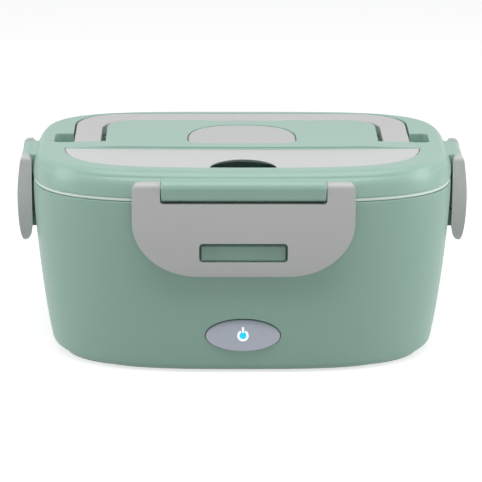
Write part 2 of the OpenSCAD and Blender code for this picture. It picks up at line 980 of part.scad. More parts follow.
function tray_rings(inset, low) = concat(
    liner_rings(steel_inset + steel_t + inset, low, tray_z + tray_h - 4, bowl_r - steel_t),
    [wall_ring(tray_z + tray_h, steel_inset + steel_t + inset, coarse)]);

module side_tray() {
    start = tray_start * (half_w(tray_z) - steel_inset);
    color("#E4E8E6")
        difference() {
            intersection() {
                loft(tray_rings(tray_gap, tray_z));
                translate([start, -rim_d, 0])
                    cube([rim_w, 2 * rim_d, tray_z + tray_h]);
            }
            intersection() {
                loft(concat(tray_rings(tray_gap + tray_wall, tray_z + tray_wall),
                    [wall_ring(tray_z + tray_h + 2, steel_inset + steel_t + tray_gap + tray_wall,
                        coarse)]));
                translate([start + tray_wall, -rim_d, 0])
                    cube([rim_w, 2 * rim_d, rim_z]);
            }
        }
}

// ---- Lid ----

// Squareness of the top face, which is squarer than the rim
top_n = plan_n + 0.6;

// Height over the skirt and share of the shoulder, from the skirt up to the top face
shoulder = [[0, 0.03], [0.05, 0], [0.3, 0.02], [0.5, 0.09], [0.64, 0.22], [0.74, 0.38],
    [0.82, 0.46], [0.9, 0.6], [0.97, 0.8], [1, 1]];

function lid_rings(inset, drop, count) = [for (s = shoulder)
    [for (p = oval(rim_w / 2 - inset - shoulder_w * s[1],
        rim_d / 2 - inset - (shoulder_d + shoulder_back) / 2 * s[1],
        skirt_z + (lid_h - drop) * s[0], count, plan_n + (top_n - plan_n) * s[1]))
        p + [0, (shoulder_d - shoulder_back) / 2 * s[1], 0]]];

module channel_outline(grow) {
    difference() {
        arch(handle_w / 2 + channel_gap + grow, pocket_front - grow, handle_back + channel_gap + grow,
            handle_r + channel_gap + grow);
        arch(panel_half - grow, pocket_front - 9, panel_back - grow, handle_in_r - leg_gap);
    }
}

module pocket_outline(grow) {
    reach = handle_w / 2 + pocket_out;
    for (side = [-1, 1])
        translate([side * (panel_half + reach) / 2, pocket_front + pocket_l / 2])
            round_rect(reach - panel_half + 2 * grow, pocket_l + 2 * grow, 2 + grow);
}

// Outline of the cutlery cover, whose front edge follows the lid
module cover_outline(grow) {
    reach = cover_w / 2 + grow;
    front = cover_front + grow;
    back = cover_back + grow;
    start = asin(pow(-back / front, cover_n / 2));
    tip = reach * pow(cos(start), 2 / cover_n);
    steps = 48;
    back_steps = 12;
    polygon(concat(
        [for (i = [0:steps])
            let (a = start + (180 - 2 * start) * i / steps, c = cos(a), s = sin(a))
            [reach * sign(c) * pow(abs(c), 2 / cover_n), -front * pow(s, 2 / cover_n)]],
        [for (i = [1:back_steps - 1])
            let (t = 2 * i / back_steps - 1)
            [tip * t, back - cover_bow * (1 - t * t)]]));
}

module cap_outline(grow) {
    middle = cap_front + cap_d * 0.3;
    polygon([for (i = [0:coarse - 1])
        let (c = cos(360 * i / coarse), s = sin(360 * i / coarse),
             n = s > 0 ? cap_n : cap_front_n, hd = (s > 0 ? cap_d * 0.7 : cap_d * 0.3) + grow)
        [(cap_w / 2 + grow) * sign(c) * pow(abs(c), 2 / n),
            middle + hd * sign(s) * pow(abs(s), 2 / n)]]);
}

// Side outline of the bar: round over the pivot and tucked in at its lower edge
module block_outline(r, drop, root) {
    tuck = 0.7;
    low_r = 2.4;
    polygon(concat(
        [[root, -drop], [root, r - 0.4]],
        [for (i = [0:8]) let (a = 90 + 11.25 * i) [r * cos(a), r * sin(a)]],
        [for (i = [0:4]) let (a = 180 + 22.5 * i)
            [tuck - r + low_r + low_r * cos(a), low_r - drop + low_r * sin(a)]]));
}

// Bar on the side of the lid that a latch hangs from
module hinge_block(w, arm, r) {
    along_x(w - 2 * arm - 2 * block_gap)
        block_outline(r, block_drop, pivot_out + 3);
}

module at_each_pivot() {
    translate([0, 0, pivot_z]) {
        for (turn = [0, 180])
            rotate([0, 0, turn])
                at_front(rim_d / 2 + pivot_out)
                    children(0);
        for (turn = [90, -90])
            rotate([0, 0, turn])
                at_front(rim_w / 2 + pivot_out)
                    children(1);
    }
}

module lid_tubs() {
    high = lid_z - lid_skin + 0.5;
    translate([0, 0, channel_z - tub_wall])
        linear_extrude(high - channel_z + tub_wall)
            channel_outline(tub_wall);
    translate([0, 0, channel_z - tub_wall])
        linear_extrude(high - channel_z + tub_wall)
            scoop_outline(tub_wall);
    translate([0, 0, pocket_z - tub_wall])
        linear_extrude(high - pocket_z + tub_wall)
            pocket_outline(tub_wall);
    translate([0, 0, bin_floor - tub_wall])
        linear_extrude(high - bin_floor + tub_wall)
            cover_outline(tub_wall - cover_ledge);
    translate([0, 0, cover_z - tub_wall])
        linear_extrude(high - cover_z + tub_wall)
            cover_outline(cover_gap + tub_wall);
    translate([0, 0, cap_z - tub_wall])
        linear_extrude(high - cap_z + tub_wall)
            cap_outline(cap_gap + tub_wall);
    translate([0, steam_y, pan_top])
        cylinder(high - pan_top, r = steam_d / 2 + tub_wall, $fn = rounds);
}

module lid_cuts() {
    translate([0, 0, channel_z])
        linear_extrude(99)
            channel_outline(0);
    translate([0, 0, pocket_z])
        linear_extrude(99)
            pocket_outline(0);
    translate([0, 0, bin_floor])
        linear_extrude(99)
            cover_outline(-cover_ledge);
    translate([0, 0, cover_z - 0.1])
        linear_extrude(99)
            cover_outline(cover_gap);
    translate([0, 0, cap_z - 0.1])
        linear_extrude(99)
            cap_outline(cap_gap);
    translate([0, steam_y, 0])
        cylinder(lid_z, r = steam_d / 2, $fn = rounds);
    translate([0, 0, channel_z])
        linear_extrude(99)
            scoop_outline(0);
}

// Hollow in the back edge of the panel, for the fingers that lift the bar of the handle
module scoop_outline(grow) {
    r = (scoop_w * scoop_w + scoop_d * scoop_d) / (2 * scoop_d);
    y = panel_back - scoop_d;
    intersection() {
        translate([0, y + r])
            circle(r + grow, $fn = 2 * rounds);
        translate([-scoop_w - grow, y - 1 - grow])
            square([2 * (scoop_w + grow), scoop_d + 2]);
    }
}

// Height of the crowned land: level between the legs of the handle, and down to the lid at its ends
function crown(x) =
    let (t = max(0, min(1, (land_w - abs(x)) / land_run)))
    lid_z + panel_rise * t * t * (3 - 2 * t);

// Raised panel between the legs of the handle, and the land in front of the pockets
module panel() {
    front = cover_back - cover_bow;
    steps = 24;
    intersection() {
        translate([0, 0, lid_z - 0.5])
            linear_extrude(panel_rise + 1)
                union() {
                    arch(panel_half, front, panel_back, handle_in_r - leg_gap);
                    translate([-land_w, front])
                        square([2 * land_w, pocket_front - front]);
                }
        along_y(front - 1, panel_back + 1)
            polygon(concat([[land_w + 1, lid_z - 1]],
                [for (i = [0:steps]) let (x = land_w * (1 - 2 * i / steps)) [x, crown(x)]],
                [[-land_w - 1, lid_z - 1]]));
    }
}

module lid_cover() {
    color(mint)
        difference() {
            union() {
                difference() {
                    loft(lid_rings(0, 0, fine));
                    loft(concat([oval(rim_w / 2 - 2.4, rim_d / 2 - 2.4, skirt_z - 1, fine)],
                        lid_rings(2.4, lid_skin, fine)));
                }
                intersection() {
                    lid_tubs();
                    loft(concat([oval(rim_w / 2 - 2, rim_d / 2 - 2, skirt_z - 9, fine)],
                        lid_rings(1, 0.5, fine)));
                }
                panel();
                at_each_pivot() {
                    hinge_block(latch_w, arm_w, bar_r);
                    hinge_block(end_latch_w, end_arm_w, end_bar_r);
                }
            }
            lid_cuts();
            at_each_pivot() {
                pin_pair(latch_w, arm_w, pin_l);
                pin_pair(end_latch_w, end_arm_w, end_pin_l);
            }
            translate([0, handle_pivot_y, handle_pivot_z])
                for (side = [-1, 1])
                    x_rod(side > 0 ? handle_pin_in : -handle_pin_in - 9,
                        side > 0 ? handle_pin_in + 9 : -handle_pin_in, pin_d / 2);
        }
}

handle_pin_in = panel_half - tub_wall - 3;
handle_pin_out = handle_w / 2 - handle_strip + 8;

module lid_liner() {
    color("#DDE3E0")
        difference() {
            union() {
                translate([0, 0, pan_top - pan_flange_t])
                    linear_extrude(pan_flange_t)
                        polygon(rim_outline(pan_flange_inset, coarse));
                translate([0, 0, pan_floor])
                    linear_extrude(pan_h)
                        polygon(rim_outline(pan_inset, coarse));
            }
            translate([0, 0, pan_floor + pan_t])
                linear_extrude(pan_h)
                    polygon(rim_outline(pan_inset + pan_t, coarse));
            translate([0, steam_y, pan_floor - 1])
                cylinder(9, r = steam_d / 2, $fn = rounds);
        }
}

module lid_seal() {
    color(pale_mint)
        difference() {
            union() {
                translate([0, 0, seal_z])
                    linear_extrude(skirt_z - seal_z)
                        polygon(rim_outline(seal_proud));
                translate([0, 0, seal_z - seal_lip])
                    linear_extrude(seal_lip_h)
                        polygon(rim_outline(rim_land + 0.3));
            }
            linear_extrude(rim_z + 99)
                polygon(rim_outline(seal_in));
        }
}

module pin_pair(w, arm, l) {
    for (side = [-1, 1])
        x_rod(side * (w / 2 - arm) - l / 2, side * (w / 2 - arm) + l / 2, pin_d / 2);
}

module latch_pins() {
    color(steel)
        at_each_pivot() {
            pin_pair(latch_w, arm_w, pin_l);
            pin_pair(end_latch_w, end_arm_w, end_pin_l);
        }
}

module handle_pins() {
    color(steel)
        translate([0, handle_pivot_y, handle_pivot_z])
            for (side = [-1, 1])
                x_rod(side > 0 ? handle_pin_in : -handle_pin_out,
                    side > 0 ? handle_pin_out : -handle_pin_in, pin_d / 2);
}

module carry_handle() {
    color(grey)
        difference() {
            intersection() {
                translate([0, 0, handle_z])
                    linear_extrude(handle_t)
                        difference() {
                            arch(handle_w / 2, handle_front, handle_back, handle_r);
                            arch(handle_w / 2 - handle_strip, handle_front - 9,
                                handle_back - handle_bar, handle_in_r);
                        }
                along_x(handle_w + 2)
                    union() {
                        translate([handle_front + heel_r, handle_z])
                            square([handle_back, handle_t]);
                        translate([handle_front, handle_z + heel_r])
                            square([handle_back, handle_t - 2 * heel_r]);
                        for (z = [handle_z + heel_r, handle_z + handle_t - heel_r])
                            translate([handle_front + heel_r, z])
                                circle(heel_r, $fn = rounds);
                    }
            }
            translate([0, handle_pivot_y, handle_pivot_z])
                for (side = [-1, 1])
                    x_rod(side > 0 ? 0 : -handle_pin_out - 0.5, side > 0 ? handle_pin_out + 0.5 : 0,
                        pin_d / 2 + slip);
        }
}

// Soft cap over the steam hole, which lifts at the back and bends at its front edge
module vent_cap() {
    color(grey)
        difference() {
            union() {
                translate([0, 0, cap_z])
                    linear_extrude(cap_t)
                        cap_outline(0);
                translate([0, steam_y, cap_z - plug_l])
                    cylinder(plug_l + 1, r = steam_d / 2 - plug_gap, $fn = rounds);
            }
            translate([0, steam_y, cap_z - plug_l - 1])
                cylinder(plug_l + 1.5, r = (steam_d / 2 - plug_gap) / 2, $fn = rounds);
        }
}

module cutlery_cover() {
    color(grey)
        difference() {
            translate([0, 0, cover_z])
                linear_extrude(cover_t)
                    cover_outline(0);
            translate([0, -cover_front, 0])
                cylinder(lid_z + 9, r = notch_r, $fn = 2 * rounds);
        }
}

// Stations along a spoon or fork: place along it, half width and height
function cutlery_ring(x, hw, z, dish) = [for (i = [0:6])
        let (u = i / 3 - 1)
        [x, spoon_y + u * hw, z + dish * u * u],
    for (i = [6:-1:0])
        let (u = i / 3 - 1)
        [x, spoon_y + u * hw, z + dish * u * u + cutlery_t]];

module cutlery_blade(head_w, head_l, depth, base) {
    steps = 10;
    neck = cutlery_l / 2 - head_l;
    grip = [for (i = [0:6])
        let (t = i / 6)
        cutlery_ring(-cutlery_l / 2 + t * (neck + cutlery_l / 2 - 4),
            t < 0.01 ? grip_w / 2 - 2.5 : grip_w / 2 + (neck_w - grip_w) / 2 * t,
            base + depth * 0.55 + 1.2 * sin(180 * t), 0.5)];
    head = [for (i = [0:steps])
        let (t = i / steps, a = 15 + 158 * t)
        cutlery_ring(neck + head_l * t, max(neck_w / 2, head_w / 2 * sin(a)),
            base + depth * 0.55 * (1 - sin(a)), 0.5 + depth * 0.8 * sin(a) * sin(a))];
    loft(concat(grip, head));
}

module spoon() {
    color(steel)
        cutlery_blade(spoon_w, bowl_l, bowl_depth, spoon_z);
}

module fork() {
    lift = spoon_z + fork_lift;
    color(steel)
        difference() {
            cutlery_blade(fork_w, bowl_l, bowl_depth * 0.5, lift);
            for (i = [-1:1])
                translate([cutlery_l / 2 - 26, spoon_y + i * fork_w * 0.23 - 1, lift - 9])
                    cube([40, 2, 30]);
        }
}

// ---- Latches ----

// Front outline of a latch, with its pivot at height 0
module latch_face(w, corner, grow) {
    hw = w / 2 + grow;
    drop = latch_drop + grow;
    low = -drop + corner_h;
    right = concat(
        [for (i = [0:4]) let (a = 90 - 22.5 * i)
            [hw - corner_r + corner_r * cos(a), arm_r + grow - corner_r + corner_r * sin(a)]],
        [for (i = [0:corner_steps]) let (a = 90 * i / corner_steps)
            [hw - corner + corner * cos(a), low - corner_h * sin(a)]]);
    polygon(concat(right, [for (i = [len(right) - 1:-1:0]) [-right[i][0], right[i][1]]]));
}

// How far the face of a latch is in front of its pivot, at a depth under the pivot
function face_out(z) = z < bow_z
    ? arm_r + (latch_bow - arm_r) * sin(90 * z / bow_z)
    : tip_out + (latch_bow - tip_out)
        * pow(max(0, 1 - pow((z - bow_z) / (latch_drop - bow_z), bow_n)), 1 / bow_n);

// Side outline of a latch at rest: round over the pivot, bowed out and cut back for a finger
module latch_side() {
    depths = [0.07, 0.15, 0.24, 0.33, 0.4, 0.49, 0.575, 0.66, 0.74, 0.81, 0.86, 0.905, 0.94, 0.97,
        0.985, 0.995];
    last = latch_drop;
    polygon(concat(
        [for (i = [0:12]) let (a = 15 * i)
            [arm_r * cos(a) * (cos(a) > 0 ? latch_back / arm_r : 1), arm_r * sin(a)]],
        [for (z = depths) let (d = z * last) [-face_out(d), -d]],
        [[-tip_out, -last],
         [0.5, -last + 1.6], [1.9, -last + 4.4], [latch_back + 0.1, -last + grip_cut]]));
}

// Space behind the plate of a latch, from its inner face back
module latch_hollow(top) {
    last = latch_drop;
    depths = [0.31, 0.4, 0.49, 0.575, 0.66, 0.74, 0.81, 0.86, 0.905, 0.94, 0.97];
    polygon(concat(
        [for (z = concat([top], last * depths)) [latch_plate - face_out(z), -z]],
        [[latch_plate - tip_out, -last], [30, -last], [30, -top]]));
}

module latch_body(w, corner) {
    intersection() {
        along_y(-latch_bow - 3, pivot_out + 4)
            latch_face(w, corner, 0);
        along_x(w + 2)
            latch_side();
    }
}

// One latch as it hangs at rest, just clear of its catch
module latch(w, arm, corner, slot, pin) {
    inner_w = w - 2 * arm;
    notch = -block_drop - notch_gap;
    color(grey)
        difference() {
            latch_body(w, corner);
            // Notch for the hinge block
            translate([-inner_w / 2, -30, notch])
                cube([inner_w, 60, 40]);
            // Hollow behind the plate
            intersection() {
                along_y(-30, 30)
                    latch_face(w, corner - skirt_t, -skirt_t);
                along_x(w)
                    latch_hollow(skirt_t - notch);
            }
            // Open lower edge, so that a finger fits behind it and the catch passes it
            translate([-slot / 2 - 1, -catch_face - pass_gap, -latch_drop - 9])
                cube([slot + 2, 60, latch_drop - slot_top + 9]);
            along_y(-30, 30)
                translate([0, -slot_top - slot_h / 2])
                    round_rect(slot, slot_h, slot_r);
            for (side = [-1, 1])
                x_rod(side > 0 ? 0 : -w / 2 + arm - pin / 2 - 0.5,
                    side > 0 ? w / 2 - arm + pin / 2 + 0.5 : 0, pin_d / 2 + slip);
        }
}

module wide_latch() {
    latch(latch_w, arm_w, corner_w, slot_w, pin_l);
}

module end_latch() {
    latch(end_latch_w, end_arm_w, end_corner_w, end_slot_w, end_pin_l);
}

module front_latch() {
    translate([0, 0, pivot_z])
        at_front(rim_d / 2 + pivot_out)
            wide_latch();
}

module back_latch() {
    translate([0, 0, pivot_z])
        at_back(rim_d / 2 + pivot_out)
            wide_latch();
}

module left_latch() {
    translate([0, 0, pivot_z])
        at_left(rim_w / 2 + pivot_out)
            end_latch();
}

module right_latch() {
    translate([0, 0, pivot_z])
        at_right(rim_w / 2 + pivot_out)
            end_latch();
}

outer_shell();
bottom_cover();
foot_pads();
base_screws();
inner_liner();
heating_plate();
plate_gasket();
plate_screws();
ptc_heater();
heater_clamp();
clamp_screws();
thermostat();
thermal_fuse();
control_board();
board_screws();
tact_switch();
status_led();
terminal_block();
power_button();
power_icon();
ac_inlet();
ac_pins();
dc_jack();
dc_pin();
inlet_cover();
wiring();
food_container();
side_tray();
lid_cover();
lid_liner();
lid_seal();
latch_pins();
handle_pins();
carry_handle();
vent_cap();
cutlery_cover();
spoon();
fork();
front_latch();
back_latch();
left_latch();
right_latch();
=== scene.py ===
"""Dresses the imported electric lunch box: a mint shell and lid, grey latches, handle and covers."""

from __future__ import annotations

import logging
import math
from dataclasses import dataclass, field
from enum import Enum
from typing import Callable, Iterable, Sequence

import bmesh
import bpy
from mathutils import Matrix, Quaternion, Vector


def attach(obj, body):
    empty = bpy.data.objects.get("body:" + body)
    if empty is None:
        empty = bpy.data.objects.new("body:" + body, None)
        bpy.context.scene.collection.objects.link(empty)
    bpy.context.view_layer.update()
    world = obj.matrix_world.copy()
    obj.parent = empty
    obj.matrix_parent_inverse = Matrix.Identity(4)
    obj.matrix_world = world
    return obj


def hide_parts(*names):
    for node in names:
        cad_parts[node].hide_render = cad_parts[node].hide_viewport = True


LOG = logging.getLogger("lunch_box")
MM = 0.001  # metres in a millimetre
FINE = 192  # points of a ring round the box
SMOOTH = 30.0  # edges sharper than this many degrees stay sharp
WELD = 2e-6  # metres, joins the doubles that cutting leaves
NODE_WELD = 1e-6  # metres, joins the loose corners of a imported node
LEVEL = 0.8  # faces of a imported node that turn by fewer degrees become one

Flat = tuple[float, float]
Point = tuple[float, float, float]
Outline = list[Flat]
Ring = list[Point]
Colour = tuple[float, float, float]


class Body(Enum):
    """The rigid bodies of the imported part."""

    BASE = "base"
    BUTTON = "button"
    FLAP = "inlet_flap"
    CONTAINER = "container"
    TRAY = "tray"
    LID = "lid"
    HANDLE = "handle"
    CAP = "cap"
    SPOON = "spoon_body"
    FORK = "fork_body"
    COVER = "cover"
    FRONT = "latch_front"
    BACK = "latch_back"
    LEFT = "latch_left"
    RIGHT = "latch_right"


# ---------------------------------------------------------------------------
# Sizes
# ---------------------------------------------------------------------------


@dataclass(frozen=True)
class Box:
    """The driving sizes of the lunch box, in millimetres."""

    rim_w: float = 224.0
    rim_d: float = 157.0
    rim_z: float = 93.9
    plan_n: float = 3.4
    base_n: float = 3.0
    lean_w: float = 10.0
    lean_d: float = 8.0
    lean_curve: float = 1.6
    wall: float = 2.5
    edge_r: float = 4.0
    foot_h: float = 1.0
    lid_h: float = 13.7
    seal_h: float = 2.3
    panel_rise: float = 0.8
    pivot_out: float = 3.2
    pivot_up: float = 6.7

    @property
    def skirt_z(self) -> float:
        """Height of the lower edge of the lid."""
        return self.rim_z + self.seal_h

    @property
    def lid_z(self) -> float:
        """Height of the top face of the lid."""
        return self.skirt_z + self.lid_h

    @property
    def top_z(self) -> float:
        """Height of the raised panel."""
        return self.lid_z + self.panel_rise

    @property
    def pivot_z(self) -> float:
        """Height of the latch pivots."""
        return self.skirt_z + self.pivot_up

    def lean(self, z: float) -> float:
        """Share of the lean of the walls at a height."""
        return (max(0.0, self.rim_z - z) / self.rim_z) ** self.lean_curve

    def half_w(self, z: float) -> float:
        """Half the width of the shell at a height."""
        return self.rim_w / 2 - self.lean_w * self.lean(z)

    def half_d(self, z: float) -> float:
        """Half the depth of the shell at a height."""
        return self.rim_d / 2 - self.lean_d * self.lean(z)

    def wall_ring(self, z: float, inset: float) -> Ring:
        """A ring parallel to the wall of the shell, which is rounder towards the table.

        Args:
            z: Height of the ring.
            inset: Distance from the outer face of the wall.

        Returns:
            The ring's points.
        """
        power = self.plan_n - (self.plan_n - self.base_n) * self.lean(z)
        return at_height(oval(self.half_w(z) - inset, self.half_d(z) - inset, FINE, power), z)

    def rim_ring(self, z: float, inset: float) -> Ring:
        """A level ring parallel to the rim of the box."""
        outline = oval(self.rim_w / 2 - inset, self.rim_d / 2 - inset, FINE, self.plan_n)
        return at_height(outline, z)

    def at_pivot(self, turn: float, reach: float) -> Matrix:
        """Where a piece goes that is drawn for the front, with a latch's pivot at the origin.

        Args:
            turn: Side of the box, in degrees from the front.
            reach: Distance from the middle of the box to the rim.

        Returns:
            The matrix, in millimetres.
        """
        return (Matrix.Rotation(math.radians(turn), 4, "Z")
                @ Matrix.Translation((0, -reach - self.pivot_out, self.pivot_z)))


BOX = Box()


# ---------------------------------------------------------------------------
# Outlines and rings
# ---------------------------------------------------------------------------


def oval(half_w: float, half_d: float, count: int, power: float = 2.0) -> Outline:
    """Points of a rounded oval, anticlockwise from +X.

    Args:
        half_w: Half the width.
        half_d: Half the depth.
        count: Number of points.
        power: 2 for an ellipse, more for a squarer shape.

    Returns:
        The outline.
    """
    points = []
    for i in range(count):
        c, s = math.cos(math.tau * i / count), math.sin(math.tau * i / count)
        points.append((math.copysign(abs(c) ** (2 / power), c) * half_w,
                       math.copysign(abs(s) ** (2 / power), s) * half_d))
    return points


def arc(cx: float, cy: float, r: float, start: float, end: float, steps: int) -> Outline:
    """Points on an arc, with both ends.

    Args:
        cx: Centre along the first axis.
        cy: Centre along the second axis.
        r: Radius.
        start: First angle, in degrees.
        end: Last angle, in degrees.
        steps: Number of chords.

    Returns:
        The points in order.
    """
    angles = [math.radians(start + (end - start) * i / steps) for i in range(steps + 1)]
    return [(cx + r * math.cos(a), cy + r * math.sin(a)) for a in angles]


def quarter(steps: int) -> list[float]:
    """The angles from 0 to 90 degrees in equal steps, in radians."""
    return [math.radians(90 * i / steps) for i in range(steps + 1)]


def round_rect(w: float, h: float, r: float, cx: float = 0.0, cy: float = 0.0,
               steps: int = 6) -> Outline:
    """A rectangle with round corners.

    Args:
        w: Width.
        h: Height.
        r: Radius of the corners.
        cx: Middle along the first axis.
        cy: Middle along the second axis.
        steps: Chords in each corner.

    Returns:
        The outline, anticlockwise.
    """
    x, y = w / 2 - r, h / 2 - r
    return (arc(cx + x, cy + y, r, 0, 90, steps) + arc(cx - x, cy + y, r, 90, 180, steps)
            + arc(cx - x, cy - y, r, 180, 270, steps) + arc(cx + x, cy - y, r, 270, 360, steps))


def at_height(outline: Outline, z: float) -> Ring:
    """An outline as a level ring at a height."""
    return [(x, y, z) for x, y in outline]


def upright(outline: Outline, y: float) -> Ring:
    """An (X, Z) outline as a ring that faces -Y."""
    return [(x, y, z) for x, z in outline]


def sideways(outline: Outline, x: float) -> Ring:
    """A (Y, Z) outline as a ring that faces +X."""
    return [(x, y, z) for y, z in outline]


def smooth_profile(points: Sequence[Flat], steps: int) -> Outline:
    """A Catmull-Rom curve through the points of a profile.

    Args:
        points: The profile's points.
        steps: Chords between two points.

    Returns:
        The smooth profile.
    """
    last = len(points) - 1
    out: Outline = []
    for i in range(last):
        a, b = points[max(i - 1, 0)], points[i]
        c, d = points[i + 1], points[min(i + 2, last)]
        for k in range(steps):
            t = k / steps
            out.append(tuple(0.5 * (2 * b[j] + (c[j] - a[j]) * t
                                    + (2 * a[j] - 5 * b[j] + 4 * c[j] - d[j]) * t * t
                                    + (3 * b[j] - a[j] - 3 * c[j] + d[j]) * t ** 3)
                             for j in (0, 1)))
    out.append(points[last])
    return out


# ---------------------------------------------------------------------------
# Modelling, as by hand
# ---------------------------------------------------------------------------


def clear_selection() -> None:
    """Leaves nothing selected."""
    bpy.ops.object.select_all(action="DESELECT")


def pick(obj: bpy.types.Object) -> None:
    """Makes one object the only selected and active one."""
    clear_selection()
    obj.select_set(True)
    bpy.context.view_layer.objects.active = obj


def tidy_mesh(obj: bpy.types.Object, merge: float = 1e-7) -> None:
    """Merges doubles and turns the faces outwards.

    Args:
        obj: The piece.
        merge: Points closer than this many metres become one.
    """
    pick(obj)
    bpy.ops.object.mode_set(mode="EDIT")
    bpy.ops.mesh.select_all(action="SELECT")
    bpy.ops.mesh.remove_doubles(threshold=merge)
    bpy.ops.mesh.normals_make_consistent(inside=False)
    bpy.ops.object.mode_set(mode="OBJECT")


def loft(name: str, rings: Sequence[Ring], hollow: bool = False) -> bpy.types.Object:
    """Extrudes a circle through rings of equally many points.

    Args:
        name: Name of the new piece.
        rings: The rings in millimetres, in order.
        hollow: Leaves both ends open and joins the last ring to the first where they meet.

    Returns:
        The new object, with its place in its mesh.
    """
    clear_selection()
    fill = "NOTHING" if hollow else "NGON"
    bpy.ops.mesh.primitive_circle_add(vertices=len(rings[0]), radius=1.0, fill_type=fill)
    obj = bpy.context.object
    obj.name = obj.data.name = name
    bpy.ops.object.mode_set(mode="EDIT")
    bpy.ops.mesh.select_mode(type="EDGE" if hollow else "FACE")
    bpy.ops.mesh.select_all(action="SELECT")
    shape = bmesh.from_edit_mesh(obj.data)
    shape.verts.ensure_lookup_table()
    place = shape.verts.layers.int.new("place")
    for i, vert in enumerate(shape.verts):
        vert[place] = i
        vert.co = Vector(rings[0][i]) * MM
    bmesh.update_edit_mesh(obj.data)
    for ring in rings[1:]:
        bpy.ops.mesh.extrude_region_move(TRANSFORM_OT_translate={"value": (0, 0, MM)})
        shape = bmesh.from_edit_mesh(obj.data)
        place = shape.verts.layers.int["place"]
        for vert in shape.verts:
            if vert.select:
                vert.co = Vector(ring[vert[place]]) * MM
        bmesh.update_edit_mesh(obj.data)
    bpy.ops.object.mode_set(mode="OBJECT")
    obj.data.attributes.remove(obj.data.attributes["place"])
    tidy_mesh(obj)
    return obj


def prism(name: str, outline: Outline, low: float, high: float,
          turn: Callable[[Outline, float], Ring] = at_height) -> bpy.types.Object:
    """Extrudes an outline.

    Args:
        name: Name of the new piece.
        outline: The outline in millimetres.
        low: Where it starts along its axis.
        high: Where it ends along its axis.
        turn: at_height, upright or sideways.

    Returns:
        The new object.
    """
    return loft(name, [turn(outline, low), turn(outline, high)])


class Join(Enum):
    """What one piece does to another."""

    CUT = "DIFFERENCE"
    ADD = "UNION"
    CROSS = "INTERSECT"


def combine(obj: bpy.types.Object, tool: bpy.types.Object, how: Join = Join.CUT) -> None:
    """Cuts, joins or crosses an object with another, which is used up.

    Args:
        obj: The object that stays.
        tool: The other object.
        how: What the other object does.
    """
    pick(obj)
    modifier = obj.modifiers.new("combine", "BOOLEAN")
    modifier.operation = how.value
    modifier.solver = "EXACT"
    modifier.object = tool
    bpy.ops.object.modifier_apply(modifier=modifier.name)
    bpy.data.objects.remove(tool, do_unlink=True)


def soften(obj: bpy.types.Object, width: float, segments: int = 3, angle: float = 35.0) -> None:
    """Rounds the sharp edges of a piece.

    Args:
        obj: The piece.
        width: Width of the rounding, in millimetres.
        segments: Number of faces across it.
        angle: Edges sharper than this many degrees are rounded.
    """
    pick(obj)
    modifier = obj.modifiers.new("soften", "BEVEL")
    modifier.limit_method = "ANGLE"
    modifier.angle_limit = math.radians(angle)
    modifier.width = width * MM
    modifier.segments = segments
    modifier.use_clamp_overlap = True
    bpy.ops.object.modifier_apply(modifier=modifier.name)


def smooth(obj: bpy.types.Object, angle: float, weight: int = 80) -> None:
    """Shades a piece smooth except at its sharp edges, and keeps its flat faces flat.

    Args:
        obj: The piece.
        angle: Edges sharper than this many degrees stay sharp.
        weight: How far large faces set the normals, from 50, not at all, to 100.
    """
    pick(obj)
    bpy.ops.object.shade_smooth_by_angle(angle=math.radians(angle))
    modifier = obj.modifiers.new("even", "WEIGHTED_NORMAL")
    modifier.keep_sharp = True
    modifier.weight = weight
    bpy.ops.object.modifier_apply(modifier=modifier.name)


def shift(obj: bpy.types.Object, matrix: Matrix) -> None:
    """Moves a piece's mesh and leaves its object at the origin.

    Args:
        obj: The piece.
        matrix: Where it goes, in millimetres.
    """
    scaled = matrix.copy()
    scaled.translation = scaled.translation * MM
    obj.data.transform(scaled)
    obj.data.update()


def twin(source: bpy.types.Object, name: str) -> bpy.types.Object:
    """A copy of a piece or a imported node, with its own mesh.

    Args:
        source: The piece or node.
        name: Name of the copy.

    Returns:
        The copy.
    """
    copy = bpy.data.objects.new(name, source.data.copy())
    copy.data.name = name
    bpy.context.scene.collection.objects.link(copy)
    return copy


def lip(outline: Callable[[float], Outline], floor: float, top: float, round_r: float,
        floor_r: float = 0.0, above: float = 3.0) -> list[Ring]:
    """Rings of a cutter that leaves a rounded lip, and a rounded corner at the floor.

    Args:
        outline: Gives the outline for a growth in millimetres.
        floor: Height of the floor of the recess.
        top: Height of the face that it is cut into.
        round_r: Radius of the lip.
        floor_r: Radius of the corner at the floor.
        above: How far the cutter stands over the face.

    Returns:
        The rings, from the floor up.
    """
    rings = []
    if floor_r > 0:
        rings += [at_height(outline(floor_r * (math.sin(a) - 1)),
                            floor + floor_r * (1 - math.cos(a))) for a in quarter(4)[:-1]]
    rings.append(at_height(outline(0), floor + floor_r))
    rings += [at_height(outline(round_r * (1 - math.cos(a))),
                        top - round_r + round_r * math.sin(a)) for a in quarter(4)]
    rings.append(at_height(outline(round_r), top + above))
    return rings


def refine(node: str, name: str, width: float, segments: int = 2) -> bpy.types.Object:
    """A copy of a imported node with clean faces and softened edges.

    Args:
        node: The node that is copied.
        name: Name of the new piece.
        width: Width of the softened edges, in millimetres.
        segments: Faces across each edge.

    Returns:
        The new object.
    """
    obj = twin(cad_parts[node], name)
    obj.data.materials.clear()
    pick(obj)
    if obj.data.has_custom_normals:
        bpy.ops.mesh.customdata_custom_splitnormals_clear()
    bpy.ops.object.mode_set(mode="EDIT")
    bpy.ops.mesh.select_all(action="SELECT")
    bpy.ops.mesh.remove_doubles(threshold=NODE_WELD)
    bpy.ops.mesh.dissolve_limited(angle_limit=math.radians(LEVEL))
    bpy.ops.object.mode_set(mode="OBJECT")
    if width > 0:
        soften(obj, width, segments)
    return obj


# ---------------------------------------------------------------------------
# Effects that several materials share
# ---------------------------------------------------------------------------


